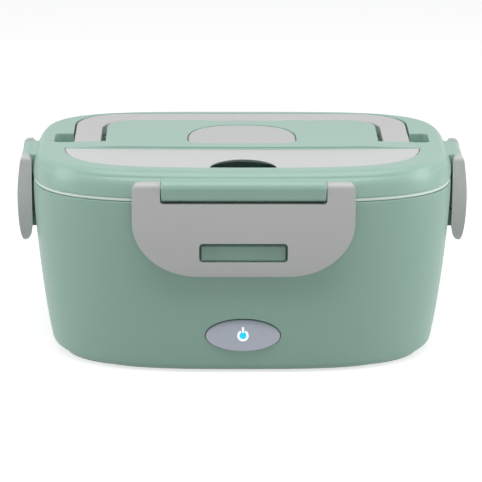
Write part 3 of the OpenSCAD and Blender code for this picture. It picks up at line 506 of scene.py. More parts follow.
def srgb(red: int, green: int, blue: int) -> Colour:
    """A colour as linear light.

    Args:
        red: Its red, from 0 to 255.
        green: Its green.
        blue: Its blue.

    Returns:
        The three channels, from 0 to 1.
    """
    def linear(value: float) -> float:
        """One channel as linear light."""
        return value / 12.92 if value <= 0.04045 else ((value + 0.055) / 1.055) ** 2.4
    return tuple(linear(v / 255) for v in (red, green, blue))


def add_group(name: str, inputs: dict[str, tuple[str, object]],
              outputs: dict[str, str]) -> bpy.types.ShaderNodeTree:
    """An empty node group with named sockets.

    Args:
        name: Name of the group.
        inputs: Socket name to its kind and default.
        outputs: Socket name to its kind.

    Returns:
        The group, with its input and output nodes placed.
    """
    tree = bpy.data.node_groups.new(name, "ShaderNodeTree")
    for socket, (kind, default) in inputs.items():
        item = tree.interface.new_socket(socket, in_out="INPUT", socket_type=f"NodeSocket{kind}")
        item.default_value = default
    for socket, kind in outputs.items():
        tree.interface.new_socket(socket, in_out="OUTPUT", socket_type=f"NodeSocket{kind}")
    tree.nodes.new("NodeGroupInput").name = "in"
    tree.nodes.new("NodeGroupOutput").name = "out"
    return tree


def feed(tree: bpy.types.NodeTree, value: object, socket: bpy.types.NodeSocket) -> None:
    """Links a socket into another, or sets the other to a plain value.

    Args:
        tree: The tree that both are in.
        value: The first socket, or the value.
        socket: The socket that is fed.
    """
    if isinstance(value, bpy.types.NodeSocket):
        tree.links.new(value, socket)
    else:
        socket.default_value = value


def reckon(tree: bpy.types.NodeTree, operation: str, *values: object) -> bpy.types.NodeSocket:
    """A math node on sockets and plain numbers.

    Args:
        tree: The tree that it goes into.
        operation: What it reckons.
        values: What feeds its inputs, in order.

    Returns:
        Its output.
    """
    node = tree.nodes.new("ShaderNodeMath")
    node.operation = operation
    for value, socket in zip(values, node.inputs):
        feed(tree, value, socket)
    return node.outputs[0]


class Effects:
    """The shared node groups: moulded grain, colour drift and brushed lines."""

    def __init__(self) -> None:
        """Builds each group once."""
        self.grain = self._grain()
        self.drift = self._drift()
        self.brushed = self._brushed()

    @staticmethod
    def _noise(tree: bpy.types.ShaderNodeTree, vector: bpy.types.NodeSocket,
               scale: bpy.types.NodeSocket | float, detail: float) -> bpy.types.NodeSocket:
        """A noise on a vector.

        Args:
            tree: The group that it goes into.
            vector: Where the noise is read.
            scale: Its scale, or the socket that gives it.
            detail: Its number of finer octaves.

        Returns:
            Its factor.
        """
        noise = tree.nodes.new("ShaderNodeTexNoise")
        noise.inputs["Detail"].default_value = detail
        feed(tree, scale, noise.inputs["Scale"])
        tree.links.new(vector, noise.inputs["Vector"])
        return noise.outputs["Fac"]

    def _grain(self) -> bpy.types.ShaderNodeTree:
        """The fine skin of moulded plastic, with a slow sink in its thick places."""
        tree = add_group("moulded_grain", {"Scale": ("Float", 1400.0), "Depth": ("Float", 1.0),
                                           "Rough": ("Float", 0.4), "Spread": ("Float", 0.06)},
                         {"Height": "Float", "Roughness": "Float"})
        given, out = tree.nodes["in"].outputs, tree.nodes["out"].inputs
        where = tree.nodes.new("ShaderNodeTexCoord").outputs["Object"]
        fine = self._noise(tree, where, given["Scale"], 3.0)
        slow = self._noise(tree, where, 18.0, 1.0)
        depth = reckon(tree, "MULTIPLY", fine, given["Depth"])
        tree.links.new(reckon(tree, "ADD", depth, slow), out["Height"])
        centred = reckon(tree, "SUBTRACT", slow, 0.5)
        rough = reckon(tree, "MULTIPLY_ADD", centred, given["Spread"], given["Rough"])
        tree.links.new(rough, out["Roughness"])
        return tree

    def _drift(self) -> bpy.types.ShaderNodeTree:
        """A slow drift of lightness over a moulded colour, as from its flow in the mould."""
        tree = add_group("colour_drift", {"Colour": ("Color", (0.5, 0.5, 0.5, 1)),
                                          "Amount": ("Float", 0.04), "Scale": ("Float", 9.0)},
                         {"Colour": "Color"})
        given, out = tree.nodes["in"].outputs, tree.nodes["out"].inputs
        where = tree.nodes.new("ShaderNodeTexCoord").outputs["Object"]
        slow = self._noise(tree, where, given["Scale"], 2.0)
        level = reckon(tree, "SUBTRACT", slow, 0.5)
        shade = tree.nodes.new("ShaderNodeHueSaturation")
        feed(tree, reckon(tree, "MULTIPLY_ADD", level, given["Amount"], 1.0), shade.inputs["Value"])
        feed(tree, given["Colour"], shade.inputs["Color"])
        feed(tree, shade.outputs["Color"], out["Colour"])
        return tree

    def _brushed(self) -> bpy.types.ShaderNodeTree:
        """Long fine lines, as a belt leaves on sheet steel."""
        tree = add_group("brushed_lines", {"Stretch": ("Vector", (12.0, 900.0, 900.0)),
                                           "Rough": ("Float", 0.3), "Spread": ("Float", 0.12)},
                         {"Height": "Float", "Roughness": "Float"})
        given, out = tree.nodes["in"].outputs, tree.nodes["out"].inputs
        where = tree.nodes.new("ShaderNodeTexCoord").outputs["Object"]
        stretch = tree.nodes.new("ShaderNodeVectorMath")
        stretch.operation = "MULTIPLY"
        feed(tree, where, stretch.inputs[0])
        feed(tree, given["Stretch"], stretch.inputs[1])
        lines = self._noise(tree, stretch.outputs[0], 1.0, 4.0)
        feed(tree, lines, out["Height"])
        rough = reckon(tree, "MULTIPLY_ADD", lines, given["Spread"], given["Rough"])
        feed(tree, rough, out["Roughness"])
        return tree


@dataclass(frozen=True)
class Surface:
    """What every finish has: a name and a colour."""

    name: str
    colour: Colour

    def lay(self, effects: Effects, drift: dict[str, float], skin: bpy.types.ShaderNodeTree,
            values: dict[str, object], bump: tuple[float, float]) -> bpy.types.Material:
        """Makes a material with the shared colour drift and one of the shared skins.

        Args:
            effects: The shared groups.
            drift: Values of the colour drift.
            skin: The group that gives the roughness and the height.
            values: Values of the skin.
            bump: Strength of the height, and its distance in metres.

        Returns:
            The material.
        """
        material = bpy.data.materials.new(self.name)
        material.use_nodes = True
        nodes, link = material.node_tree.nodes, material.node_tree.links.new
        shader = nodes["Principled BSDF"]
        colour, over = nodes.new("ShaderNodeGroup"), nodes.new("ShaderNodeGroup")
        colour.node_tree, over.node_tree = effects.drift, skin
        colour.inputs["Colour"].default_value = (*self.colour, 1)
        for node, given in ((colour, drift), (over, values)):
            for socket, value in given.items():
                node.inputs[socket].default_value = value
        link(colour.outputs["Colour"], shader.inputs["Base Color"])
        link(over.outputs["Roughness"], shader.inputs["Roughness"])
        height = nodes.new("ShaderNodeBump")
        height.inputs["Strength"].default_value, height.inputs["Distance"].default_value = bump
        link(over.outputs["Height"], height.inputs["Height"])
        link(height.outputs["Normal"], shader.inputs["Normal"])
        return material


@dataclass(frozen=True)
class Moulded(Surface):
    """A moulded plastic or rubber finish."""

    rough: float = 0.38
    grain: float = 1500.0
    bump: float = 0.04
    drift: float = 0.05
    specular: float = 0.5
    glow: float = 0.0
    see_through: float = 0.0

    def build(self, effects: Effects) -> bpy.types.Material:
        """Makes the material from the shared groups.

        Args:
            effects: The shared groups.

        Returns:
            The material.
        """
        material = self.lay(effects, {"Amount": self.drift}, effects.grain,
                            {"Scale": self.grain, "Rough": self.rough}, (self.bump, 0.0002))
        shader = material.node_tree.nodes["Principled BSDF"]
        shader.inputs["Specular IOR Level"].default_value = self.specular
        shader.inputs["Transmission Weight"].default_value = self.see_through
        if self.glow:
            colour = shader.inputs["Base Color"].links[0].from_socket
            material.node_tree.links.new(colour, shader.inputs["Emission Color"])
            shader.inputs["Emission Strength"].default_value = self.glow
        return material


@dataclass(frozen=True)
class Metal(Surface):
    """A brushed or cast metal finish."""

    rough: float = 0.28
    spread: float = 0.15
    stretch: Point = (14.0, 900.0, 900.0)
    bump: float = 0.05
    patches: float = 30.0

    def build(self, effects: Effects) -> bpy.types.Material:
        """Makes the material from the shared groups.

        Args:
            effects: The shared groups.

        Returns:
            The material.
        """
        material = self.lay(effects, {"Scale": self.patches}, effects.brushed,
                            {"Stretch": self.stretch, "Rough": self.rough, "Spread": self.spread},
                            (self.bump, 0.0001))
        material.node_tree.nodes["Principled BSDF"].inputs["Metallic"].default_value = 1.0
        return material


class Finish(Enum):
    """Every finish on the lunch box."""

    # One mint plastic in two copies: the shell's is painted darker (painted shade) and the lid's
    # lighter (painted light), as light falls on the walls and on the top.
    MINT_SHELL = Moulded("mint_shell_plastic_painted_shade", srgb(152, 187, 171), rough=0.4)
    MINT_LID = Moulded("mint_lid_plastic_painted_light", srgb(162, 197, 182), rough=0.34)
    SEAL = Moulded("pale_silicone", srgb(238, 252, 246), rough=0.5, specular=0.4, drift=0.03)
    # One grey plastic in three copies: the cover's is painted lighter (painted light), the latches'
    # and the handle's darker (painted shade), as light falls on them.
    LATCH = Moulded("grey_latch_plastic_painted_shade", srgb(202, 203, 201), rough=0.34)
    HANDLE = Moulded("grey_handle_plastic_painted_shade", srgb(203, 201, 201), rough=0.36)
    COVER = Moulded("grey_cover_plastic_painted_light", srgb(214, 214, 214), rough=0.38)
    CAP = Moulded("grey_cap_silicone", srgb(200, 202, 201), rough=0.5, specular=0.4)
    BUTTON = Moulded("lilac_grey_button", srgb(198, 203, 216), rough=0.3)
    # The printed symbol glows: painted light on a print, which is no lamp.
    ICON = Moulded("symbol_print", srgb(235, 246, 255), rough=0.4, glow=0.6, drift=0.0)
    LAMP = Moulded("blue_lamp", srgb(0, 165, 255), rough=0.2, glow=1.2, drift=0.0)
    BLACK = Moulded("black_plastic", srgb(24, 25, 27), rough=0.45)
    RUBBER = Moulded("black_rubber", srgb(30, 30, 31), rough=0.7, specular=0.3)
    LINER = Moulded("off_white_plastic", srgb(222, 227, 224), rough=0.5)
    GASKET = Moulded("red_silicone", srgb(178, 84, 50), rough=0.55)
    CERAMIC = Moulded("heater_ceramic", srgb(216, 208, 190), rough=0.6, bump=0.12)
    BOARD = Moulded("board_laminate", srgb(38, 92, 62), rough=0.35, drift=0.2)
    TERMINAL = Moulded("terminal_plastic", srgb(58, 138, 96), rough=0.4)
    WIRE = Moulded("wire_sleeve", srgb(132, 40, 32), rough=0.45)
    CLEAR = Moulded("clear_lamp", srgb(150, 205, 255), rough=0.15, see_through=0.6)
    STEEL = Metal("brushed_steel", srgb(205, 207, 210))
    SCREW = Metal("plated_screw_steel", srgb(176, 178, 182), rough=0.32, spread=0.1,
                  stretch=(600.0, 600.0, 600.0))
    ALUMINIUM = Metal("cast_aluminium", srgb(190, 192, 195), rough=0.42,
                      stretch=(500.0, 500.0, 500.0), bump=0.15)
    BRASS = Metal("plated_contact", srgb(214, 190, 130), rough=0.25, stretch=(300.0, 300.0, 40.0))


class Workshop:
    """Holds the built materials and dresses the finished pieces."""

    def __init__(self) -> None:
        """Builds every finish once."""
        effects = Effects()
        self.materials = {finish: finish.value.build(effects) for finish in Finish}

    def dress(self, obj: bpy.types.Object, finish: Finish, body: Body, nodes: Iterable[str] = (),
              angle: float = SMOOTH) -> bpy.types.Object:
        """Shades, paints and hangs a piece on its body.

        Args:
            obj: The finished piece.
            finish: Its finish.
            body: The body that it rides on.
            nodes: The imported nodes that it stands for.
            angle: Edges sharper than this many degrees stay sharp.

        Returns:
            The same piece.
        """
        smooth(obj, angle)
        obj.data.materials.clear()
        obj.data.materials.append(self.materials[finish])
        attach(obj, body.value)
        if nodes:
            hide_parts(*nodes)
        LOG.info("%s: %d faces, rides on %s", obj.name, len(obj.data.polygons), body.value)
        return obj

    def paint_node(self, node: str, finish: Finish) -> None:
        """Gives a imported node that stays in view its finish.

        Args:
            node: The node.
            finish: Its finish.
        """
        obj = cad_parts[node]
        if not obj.material_slots:
            obj.data.materials.append(None)
        for place in obj.material_slots:
            place.material = self.materials[finish]
        LOG.info("%s: packed node in %s", node, finish.value.name)


# ---------------------------------------------------------------------------
# The base
# ---------------------------------------------------------------------------


@dataclass
class Shell:
    """The tapered outer shell with its catches, button hole and inlet recess."""

    rim_round: float = 0.5
    rim_land: float = 2.9
    rim_bevel: float = 0.3
    ledge_drop: float = 2.4
    ledge_w: float = 4.5
    ledge_end: float = 4.6
    wall_drop: float = 7.0
    wall_low: float = 4.0
    base_rim: float = 6.0
    turn_up: float = 2.6
    turn_z: float = 25.0
    turn_start: float = 0.55
    cover_top: float = 3.8
    cover_gap: float = 0.1
    slot_top: float = 28.7
    slot_h: float = 10.5
    slot_w: float = 46.0
    end_slot_w: float = 16.0
    catch_face: float = 0.2
    catch_gap: float = 0.3
    catch_top: float = 0.9
    catch_slant: float = 1.6
    catch_root: float = 6.2
    inlet_w: float = 52.0
    inlet_h: float = 17.0
    inlet_r: float = 3.2
    inlet_z: float = 21.0
    inlet_depth: float = 3.7
    inlet_rim: float = 2.5
    inlet_sunk: float = 1.2
    ac_x: float = -11.0
    ac_hole: tuple[float, float, float] = (15.4, 8.4, 4.15)  # width, height, corner
    hole_lip: tuple[Flat, ...] = ((0.0, 9.0), (0.0, 0.6), (0.18, 0.18), (0.6, 0.0), (0.6, -4.0))
    dc_x: float = 15.0
    dc_hole: tuple[float, float, float] = (7.0, 7.0, 3.49)  # width, height, corner

    @property
    def inlet_floor(self) -> float:
        """Distance from the middle of the box to the floor of the inlet recess."""
        return BOX.half_d(self.inlet_z - self.inlet_h / 2) - self.inlet_depth

    def upturned(self, ring: Ring) -> Ring:
        """A ring raised near the table towards the ends of the box, where its edge turns up.

        Args:
            ring: A level ring of the wall.

        Returns:
            The raised ring.
        """
        points = []
        for x, y, z in ring:
            share = max(0.0, (abs(x) / BOX.half_w(z) - self.turn_start) / (1 - self.turn_start))
            fade = max(0.0, 1 - (z - BOX.foot_h) / self.turn_z) ** 2
            points.append((x, y, z + self.turn_up * share ** 1.5 * fade))
        return points

    def rings(self) -> list[Ring]:
        """Rings from the inner bottom edge out, up over the rim and down the inside."""
        low, rim = BOX.foot_h, BOX.rim_z
        seat = oval(BOX.half_w(low) - self.base_rim, BOX.half_d(low) - self.base_rim, FINE,
                    BOX.plan_n)
        rings = [at_height(seat, self.cover_top + self.cover_gap), at_height(seat, low)]
        rings += [self.upturned(BOX.wall_ring(low + BOX.edge_r * (1 - math.cos(a)),
                                              BOX.edge_r * (1 - math.sin(a))))
                  for a in quarter(6)]
        start = low + BOX.edge_r
        span = rim - self.rim_round - start
        rings += [self.upturned(BOX.wall_ring(start + span * i / 16, 0)) for i in range(1, 17)]
        rings += [BOX.wall_ring(rim - self.rim_round * (1 - math.sin(a)),
                                self.rim_round * (1 - math.cos(a))) for a in quarter(4)[1:]]
        ledge = rim - self.ledge_drop
        rings += [BOX.wall_ring(z, inset) for z, inset in (
            (rim, self.rim_land - self.rim_bevel), (rim - self.rim_bevel, self.rim_land),
            (ledge, self.rim_land), (ledge, self.ledge_w), (rim - self.ledge_end, self.ledge_w))]
        high, base = rim - self.wall_drop, self.cover_top + self.wall_low
        rings += [BOX.wall_ring(high + (base - high) * i / 6, BOX.wall) for i in range(7)]
        return rings + [rings[0]]

    def catch(self, width: float, turn: float, reach: float) -> bpy.types.Object:
        """The block that one latch snaps over.

        Args:
            width: Width of the latch's slot.
            turn: Side of the box, in degrees from the front.
            reach: Distance from the middle of the box to the rim.

        Returns:
            The block.
        """
        low = -self.slot_top - self.slot_h + self.catch_gap
        high = -self.slot_top - self.catch_top
        face, slant, root = -self.catch_face, self.catch_slant, self.catch_root
        outline = [(root, low), (face, low), (face, high - slant), (face + slant, high),
                   (root, high)]
        obj = prism("catch", outline, 1 - width / 2, width / 2 - 1, sideways)
        soften(obj, 0.5)
        shift(obj, BOX.at_pivot(turn, reach))
        return obj

    def button_hole(self, button: PowerButton) -> bpy.types.Object:
        """Cutter for the button's hole, with a soft lip.

        Args:
            button: The button that goes into it.

        Returns:
            The cutter.
        """
        rings = []
        for grow, depth in self.hole_lip:
            wide, tall = 1 + grow / 20, 1 + grow / 9
            rings.append([(x * wide, depth, z * tall) for x, z in button.outline(button.gap)])
        obj = loft("button_hole", rings)
        button.place(obj)
        return obj

    def inlet_box(self, grow: float, inner: float, outer: float) -> bpy.types.Object:
        """Block round the inlet recess or, with no growth, its cutter.

        Args:
            grow: How far it reaches past the recess.
            inner: Distance from the middle of the box to its inner face.
            outer: The same to its outer face.

        Returns:
            The block.
        """
        outline = round_rect(self.inlet_w + 2 * grow, self.inlet_h + 2 * grow,
                             self.inlet_r + grow, 0, self.inlet_z)
        return prism("inlet_box", outline, inner, outer, upright)

    def add_inlets(self, obj: bpy.types.Object) -> None:
        """Sinks the recess of the inlets into the back wall, with a hole for each.

        Args:
            obj: The shell.
        """
        floor = self.inlet_floor
        outer = BOX.half_d(self.inlet_z - self.inlet_h) - self.inlet_sunk
        combine(obj, self.inlet_box(self.inlet_rim, floor - self.inlet_rim, outer), Join.ADD)
        cutter = self.inlet_box(0, floor, BOX.rim_d)
        soften(cutter, 0.6)
        combine(obj, cutter)
        for name, x, size, steps in (("ac_hole", self.ac_x, self.ac_hole, 8),
                                     ("dc_hole", self.dc_x, self.dc_hole, 10)):
            outline = round_rect(*size, x, self.inlet_z, steps)
            combine(obj, prism(name, outline, floor - 9, floor + 9, upright))

    def build(self, shop: Workshop) -> None:
        """Models and dresses the shell.

        Args:
            shop: Dresses it.
        """
        obj = loft("shell_body", self.rings(), hollow=True)
        for width, turns, reach in ((self.slot_w, (0, 180), BOX.rim_d / 2),
                                    (self.end_slot_w, (90, -90), BOX.rim_w / 2)):
            for turn in turns:
                combine(obj, self.catch(width, turn, reach), Join.ADD)
        self.add_inlets(obj)
        combine(obj, self.button_hole(PowerButton()))
        tidy_mesh(obj, WELD)
        shop.dress(obj, Finish.MINT_SHELL, Body.BASE, ["outer_shell"])


@dataclass
class PowerButton:
    """The lilac grey button with its power symbol, a print painted with a glow."""

    z: float = 21.2
    w: float = 39.2
    h: float = 17.0
    gap: float = 0.3
    thick: float = 3.0
    inset: float = 1.4
    edge: float = 0.7
    crown: float = 0.3
    icon_r: float = 3.0
    icon_open: float = 26.0
    line: float = 1.1
    bar: float = 3.0
    raised: float = 0.06
    root: float = 0.4
    dot_r: float = 1.75
    dome: float = 0.25

    @property
    def y(self) -> float:
        """Where the wall is at the middle of the button."""
        return -BOX.half_d(self.z)

    @property
    def tilt(self) -> float:
        """Lean of the wall at the button, in degrees."""
        return math.degrees(math.atan((BOX.half_d(self.z + 5) - BOX.half_d(self.z - 5)) / 10))

    def outline(self, grow: float) -> Outline:
        """The button's oval, grown."""
        return oval(self.w / 2 + grow, self.h / 2 + grow, 128)

    def place(self, obj: bpy.types.Object) -> None:
        """Turns a piece modelled upright at the origin into the wall."""
        shift(obj, Matrix.Translation((0, self.y, self.z))
              @ Matrix.Rotation(math.radians(-self.tilt), 4, "X"))

    def cap(self) -> bpy.types.Object:
        """The button itself, crowned, with a rounded edge."""
        rings = [upright(self.outline(-self.inset), self.thick),
                 upright(self.outline(0), self.thick)]
        rings += [upright(self.outline(self.edge * (math.cos(a) - 1)),
                          self.edge * (1 - math.sin(a))) for a in quarter(4)]
        for share in (0.86, 0.7, 0.5, 0.3, 0.1):
            inner = [(x * share, z * share) for x, z in self.outline(-self.edge)]
            rings.append(upright(inner, -self.crown * (1 - share * share)))
        return loft("button_cap", rings)

    def symbol(self) -> bpy.types.Object:
        """The ring and the bar of the power symbol."""
        start, end = 90 + self.icon_open, 450 - self.icon_open
        ring = (arc(0, 0, self.icon_r, start, end, 40)
                + arc(0, 0, self.icon_r - self.line, end, start, 40))
        face = -self.crown - self.raised
        obj = prism("symbol_print", ring, face, self.root, upright)
        bar = round_rect(self.line, self.bar, self.line / 2 - 0.02, 0, self.icon_r + 0.1)
        combine(obj, prism("bar", bar, face, self.root, upright), Join.ADD)
        soften(obj, self.raised, 2)
        return obj

    def lamp(self) -> bpy.types.Object:
        """The blue light in the middle of the symbol."""
        rings = [upright(oval(self.dot_r, self.dot_r, 48), y) for y in (self.root, -self.crown)]
        for i in range(1, 5):
            a = math.radians(20 * i)
            r = self.dot_r * math.cos(a)
            rings.append(upright(oval(r, r, 48), -self.crown - self.dome * math.sin(a)))
        return loft("blue_lamp", rings)

    def build(self, shop: Workshop) -> None:
        """Models and dresses the button and its symbol.

        Args:
            shop: Dresses them.
        """
        for piece, finish, nodes, slot in (
                (self.cap(), Finish.BUTTON, ["power_button"], "button_grey"),
                (self.symbol(), Finish.ICON, ["power_icon"], "icon_light"),
                (self.lamp(), Finish.LAMP, (), "icon_light")):
            self.place(piece)
            shop.dress(piece, finish, Body.BUTTON, nodes)


@dataclass
class BaseParts:
    """What the base holds besides its shell: its bottom, feet, liner, heater and electrics."""

    softened: dict[str, tuple[float, Finish, str]] = field(default_factory=lambda: {
        "bottom_cover": (0.4, Finish.MINT_SHELL, "mint_shell"),
        "foot_pads": (0.35, Finish.RUBBER, "black_rubber"),
        "inner_liner": (0.0, Finish.LINER, "liner_white"),
        "heating_plate": (0.5, Finish.ALUMINIUM, "aluminium"),
        "ac_inlet": (0.2, Finish.BLACK, "black_plastic"),
        "dc_jack": (0.2, Finish.BLACK, "black_plastic"),
        "heater_clamp": (0.3, Finish.ALUMINIUM, "aluminium"),
        "ptc_heater": (0.3, Finish.CERAMIC, "ceramic"),
        "thermostat": (0.25, Finish.BLACK, "black_plastic"),
        "tact_switch": (0.2, Finish.BLACK, "black_plastic"),
        "terminal_block": (0.2, Finish.TERMINAL, "terminal_green"),
    })
    plain: dict[str, Finish] = field(default_factory=lambda: {
        "base_screws": Finish.SCREW, "plate_screws": Finish.SCREW, "clamp_screws": Finish.SCREW,
        "board_screws": Finish.SCREW, "plate_gasket": Finish.GASKET, "thermal_fuse": Finish.CERAMIC,
        "control_board": Finish.BOARD, "status_led": Finish.CLEAR, "ac_pins": Finish.BRASS,
        "dc_pin": Finish.BRASS, "wiring": Finish.WIRE, "latch_pins": Finish.SCREW,
        "handle_pins": Finish.SCREW,
    })

    def build(self, shop: Workshop) -> None:
        """Softens the pieces with moulded edges and paints the small ones.

        Args:
            shop: Dresses them.
        """
        for node, (width, finish, slot) in self.softened.items():
            shop.dress(refine(node, f"{node}_soft", width), finish, Body.BASE, [node])
        for node, finish in self.plain.items():
            shop.paint_node(node, finish)
        shop.dress(refine("inlet_cover", "inlet_flap_soft", 0.4, 3), Finish.CAP, Body.FLAP,
                   ["inlet_cover"])


@dataclass
class Container:
    """The steel food container and its side tray."""

    inset: float = 7.4
    steel: float = 0.8
    low: float = 32.0
    bend: float = 10.0
    flange_drop: float = 1.2
    flange: float = 3.5
    edge: float = 0.2
    roll: float = 0.6

    def wall(self, inset: float, low: float, high: float, bend: float) -> list[Ring]:
        """Rings of one face of the wall.

        Args:
            inset: Distance from the outer face of the shell.
            low: Height of the floor.
            high: Height of the upper end.
            bend: Radius between the floor and the wall.

        Returns:
            The rings, from the floor up.
        """
        rings = [BOX.wall_ring(low + bend * (1 - math.cos(a)), inset + bend * (1 - math.sin(a)))
                 for a in quarter(6)]
        start = low + bend
        return rings + [BOX.wall_ring(start + (high - start) * i / 6, inset) for i in range(1, 7)]

    def build(self, shop: Workshop) -> None:
        """Models the container as one bent sheet.

        Args:
            shop: Dresses it.
        """
        base = BOX.rim_z - self.flange_drop
        top = base + self.steel
        rings = self.wall(self.inset, self.low, base, self.bend)
        rings += [BOX.rim_ring(z, inset) for z, inset in (
            (base, self.flange + self.edge), (base + self.edge, self.flange),
            (top - self.edge, self.flange), (top, self.flange + self.edge),
            (top, self.inset + self.steel + self.roll))]
        inside = self.wall(self.inset + self.steel, self.low + self.steel, top - self.roll,
                           self.bend - self.steel)
        obj = loft("steel_container", rings + inside[::-1])
        shop.dress(obj, Finish.STEEL, Body.CONTAINER, ["food_container"])
        shop.dress(refine("side_tray", "side_tray_soft", 0.4), Finish.LINER, Body.TRAY,
                   ["side_tray"])


# ---------------------------------------------------------------------------
# The lid
# ---------------------------------------------------------------------------


@dataclass
class Lid:
    """The lid with its panel, handle channel, pockets, cutlery bin and hinge bars."""

    shoulder_w: float = 5.6
    shoulder_front: float = 8.0
    shoulder_back: float = 7.0
    top_n: float = 4.0
    profile: tuple[Flat, ...] = ((0.0, 0.05), (0.05, 0.0), (0.3, 0.02), (0.5, 0.09), (0.64, 0.22),
                                 (0.74, 0.38), (0.82, 0.46), (0.9, 0.6), (0.97, 0.8), (1.0, 1.0))
    handle_w: float = 181.2
    strip: float = 14.5
    bar: float = 17.0
    handle_back: float = 68.4
    handle_r: float = 28.0
    handle_in_r: float = 18.0
    gap: float = 0.8
    leg_gap: float = 2.6
    bar_gap: float = 5.0
    channel_z: float = 103.1
    pocket_front: float = -4.8
    pocket_l: float = 22.0
    pocket_r: float = 3.0
    pocket_out: float = 10.5
    pocket_z: float = 99.1
    slit_l: float = 40.0
    slit_r: float = 0.9
    slit_play: float = 0.3
    slit_z: float = 95.5
    land_half: float = 92.6
    land_run: float = 30.0
    land_round: float = 0.7
    land_lip: float = 1.2
    slope: float = 1.7
    scoop_w: float = 22.0
    scoop_d: float = 2.8
    cover_w: float = 190.0
    cover_front: float = 64.0
    cover_back: float = -18.0
    cover_bow: float = 3.0
    cover_n: float = 3.5
    cover_gap: float = 0.4
    cover_z: float = 107.5
    ledge: float = 2.4
    bin_floor: float = 93.4
    tub: float = 1.5
    tub_top: float = 98.0
    cap_w: float = 58.0
    cap_d: float = 46.0
    cap_front: float = -11.0
    cap_n: float = 2.4
    cap_front_n: float = 5.0
    cap_z: float = 108.1
    cap_gap: float = 0.4
    steam_y: float = 10.0
    steam_r: float = 3.0
    bar_w: float = 85.4
    bar_r: float = 4.5
    end_bar_w: float = 33.0
    end_bar_r: float = 3.3
    bar_drop: float = 6.5
    bar_corner: float = 2.4
    bar_root: float = 3.0
    bar_back: float = 0.4
    bar_edge: float = 0.7

    @property
    def inner(self) -> float:
        """Half the width of the panel between the legs of the handle."""
        return self.handle_w / 2 - self.strip - self.leg_gap

    def arch(self, half_w: float, front: float, back: float, r: float) -> Outline:
        """An outline with a straight front and round back corners.

        Args:
            half_w: Half its width.
            front: Its front edge.
            back: Its back edge.
            r: Radius of the corners.

        Returns:
            The outline.
        """
        return ([(half_w, front)] + arc(half_w - r, back - r, r, 0, 90, 16)
                + arc(r - half_w, back - r, r, 90, 180, 16) + [(-half_w, front)])

    def channel(self, grow: float) -> Outline:
        """The recess that the handle and the panel lie in."""
        return self.arch(self.handle_w / 2 + self.gap + grow, self.pocket_front - grow,
                         self.handle_back + self.gap + grow, self.handle_r + self.gap + grow)

    @property
    def panel_back(self) -> float:
        """Back edge of the panel, behind which the bar of the handle lies."""
        return self.handle_back - self.bar - self.bar_gap

    def cover_edge(self, x: float) -> float:
        """Where the back edge of the cutlery cover is, bowed to the front in the middle."""
        return self.cover_back - self.cover_bow * (1 - (x / self.land_half) ** 2)

    def land(self, grow: float) -> Outline:
        """The panel between the handle's legs, with the land that runs out in front of them.

        Args:
            grow: How far it is grown.

        Returns:
            The outline.
        """
        half, back, side = self.inner + grow, self.pocket_front + grow, self.land_half + grow
        r = self.handle_in_r - self.leg_gap
        slope = grow * self.slope / self.land_round
        front = [(side * i / 20, self.cover_edge(side * i / 20) - self.land_lip - slope)
                 for i in range(-20, 21)]
        return (front + [(side, back), (half, back)]
                + arc(half - r - grow, self.panel_back - r, r + grow, 0, 90, 16)
                + arc(r + grow - half, self.panel_back - r, r + grow, 90, 180, 16)
                + [(-half, back), (-side, back)])

    def crown(self) -> Outline:
        """The front view of the land, level between the legs and down to the lid at its ends."""
        points = [(self.land_half + 2, BOX.lid_z - 8), (self.land_half + 2, BOX.lid_z - 0.01)]
        for i in range(61):
            x = self.land_half * (1 - i / 30)
            t = max(0.0, min(1.0, (self.land_half - abs(x)) / self.land_run))
            points.append((x, BOX.lid_z + BOX.panel_rise * t * t * (3 - 2 * t)))
        return points + [(-x, z) for x, z in points[1::-1]]

    def pocket(self, side: int) -> Callable[[float], Outline]:
        """The finger pocket at one end of the handle.

        Args:
            side: -1 for the left one, 1 for the right one.

        Returns:
            Its outline for a growth.
        """
        reach = self.handle_w / 2 + self.pocket_out
        middle = side * (self.inner + reach) / 2

        def outline(grow: float) -> Outline:
            """The pocket, grown."""
            return round_rect(reach - self.inner + 2 * grow, self.pocket_l + 2 * grow,
                              self.pocket_r + grow, middle, self.pocket_front + self.pocket_l / 2)
        return outline

    def cover(self, grow: float) -> Outline:
        """The outline of the cutlery cover, whose front edge follows the lid.

        Args:
            grow: How far it is grown.

        Returns:
            The outline.
        """
        reach, front = self.cover_w / 2 + grow, self.cover_front + grow
        back = self.cover_back + grow
        start = math.asin((-back / front) ** (self.cover_n / 2))
        tip = reach * math.cos(start) ** (2 / self.cover_n)
        points = []
        for i in range(97):
            a = start + (math.pi - 2 * start) * i / 96
            c, s = math.cos(a), math.sin(a)
            points.append((-math.copysign(abs(c) ** (2 / self.cover_n), c) * reach,
                           -front * s ** (2 / self.cover_n)))
        for i in range(1, 24):
            t = 1 - i / 12
            points.append((tip * t, back - self.cover_bow * (1 - t * t)))
        return points

    def cap(self, grow: float) -> Outline:
        """The vent cap, straight in front and a half oval behind.

        Args:
            grow: How far it is grown.

        Returns:
            The outline.
        """
        middle = self.cap_front + self.cap_d * 0.3
        back = [point for point in oval(1, 1, 128, self.cap_n) if point[1] >= -1e-9]
        front = [point for point in oval(1, 1, 128, self.cap_front_n) if point[1] < -1e-9]
        points = []
        for x, y in back + front:
            reach = self.cap_d * (0.7 if y > 0 else 0.3) + grow
            points.append(((self.cap_w / 2 + grow) * x, middle + reach * y))
        return points

    def scoop(self, grow: float) -> Outline:
        """The finger hollow under the bar of the handle.

        Args:
            grow: How far it is grown.

        Returns:
            The outline.
        """
        r = (self.scoop_w ** 2 + self.scoop_d ** 2) / (2 * self.scoop_d)
        low = self.panel_back - self.scoop_d
        half = math.degrees(math.asin(self.scoop_w / r))
        return arc(0, low + r, r + grow, 270 - half, 270 + half, 24)

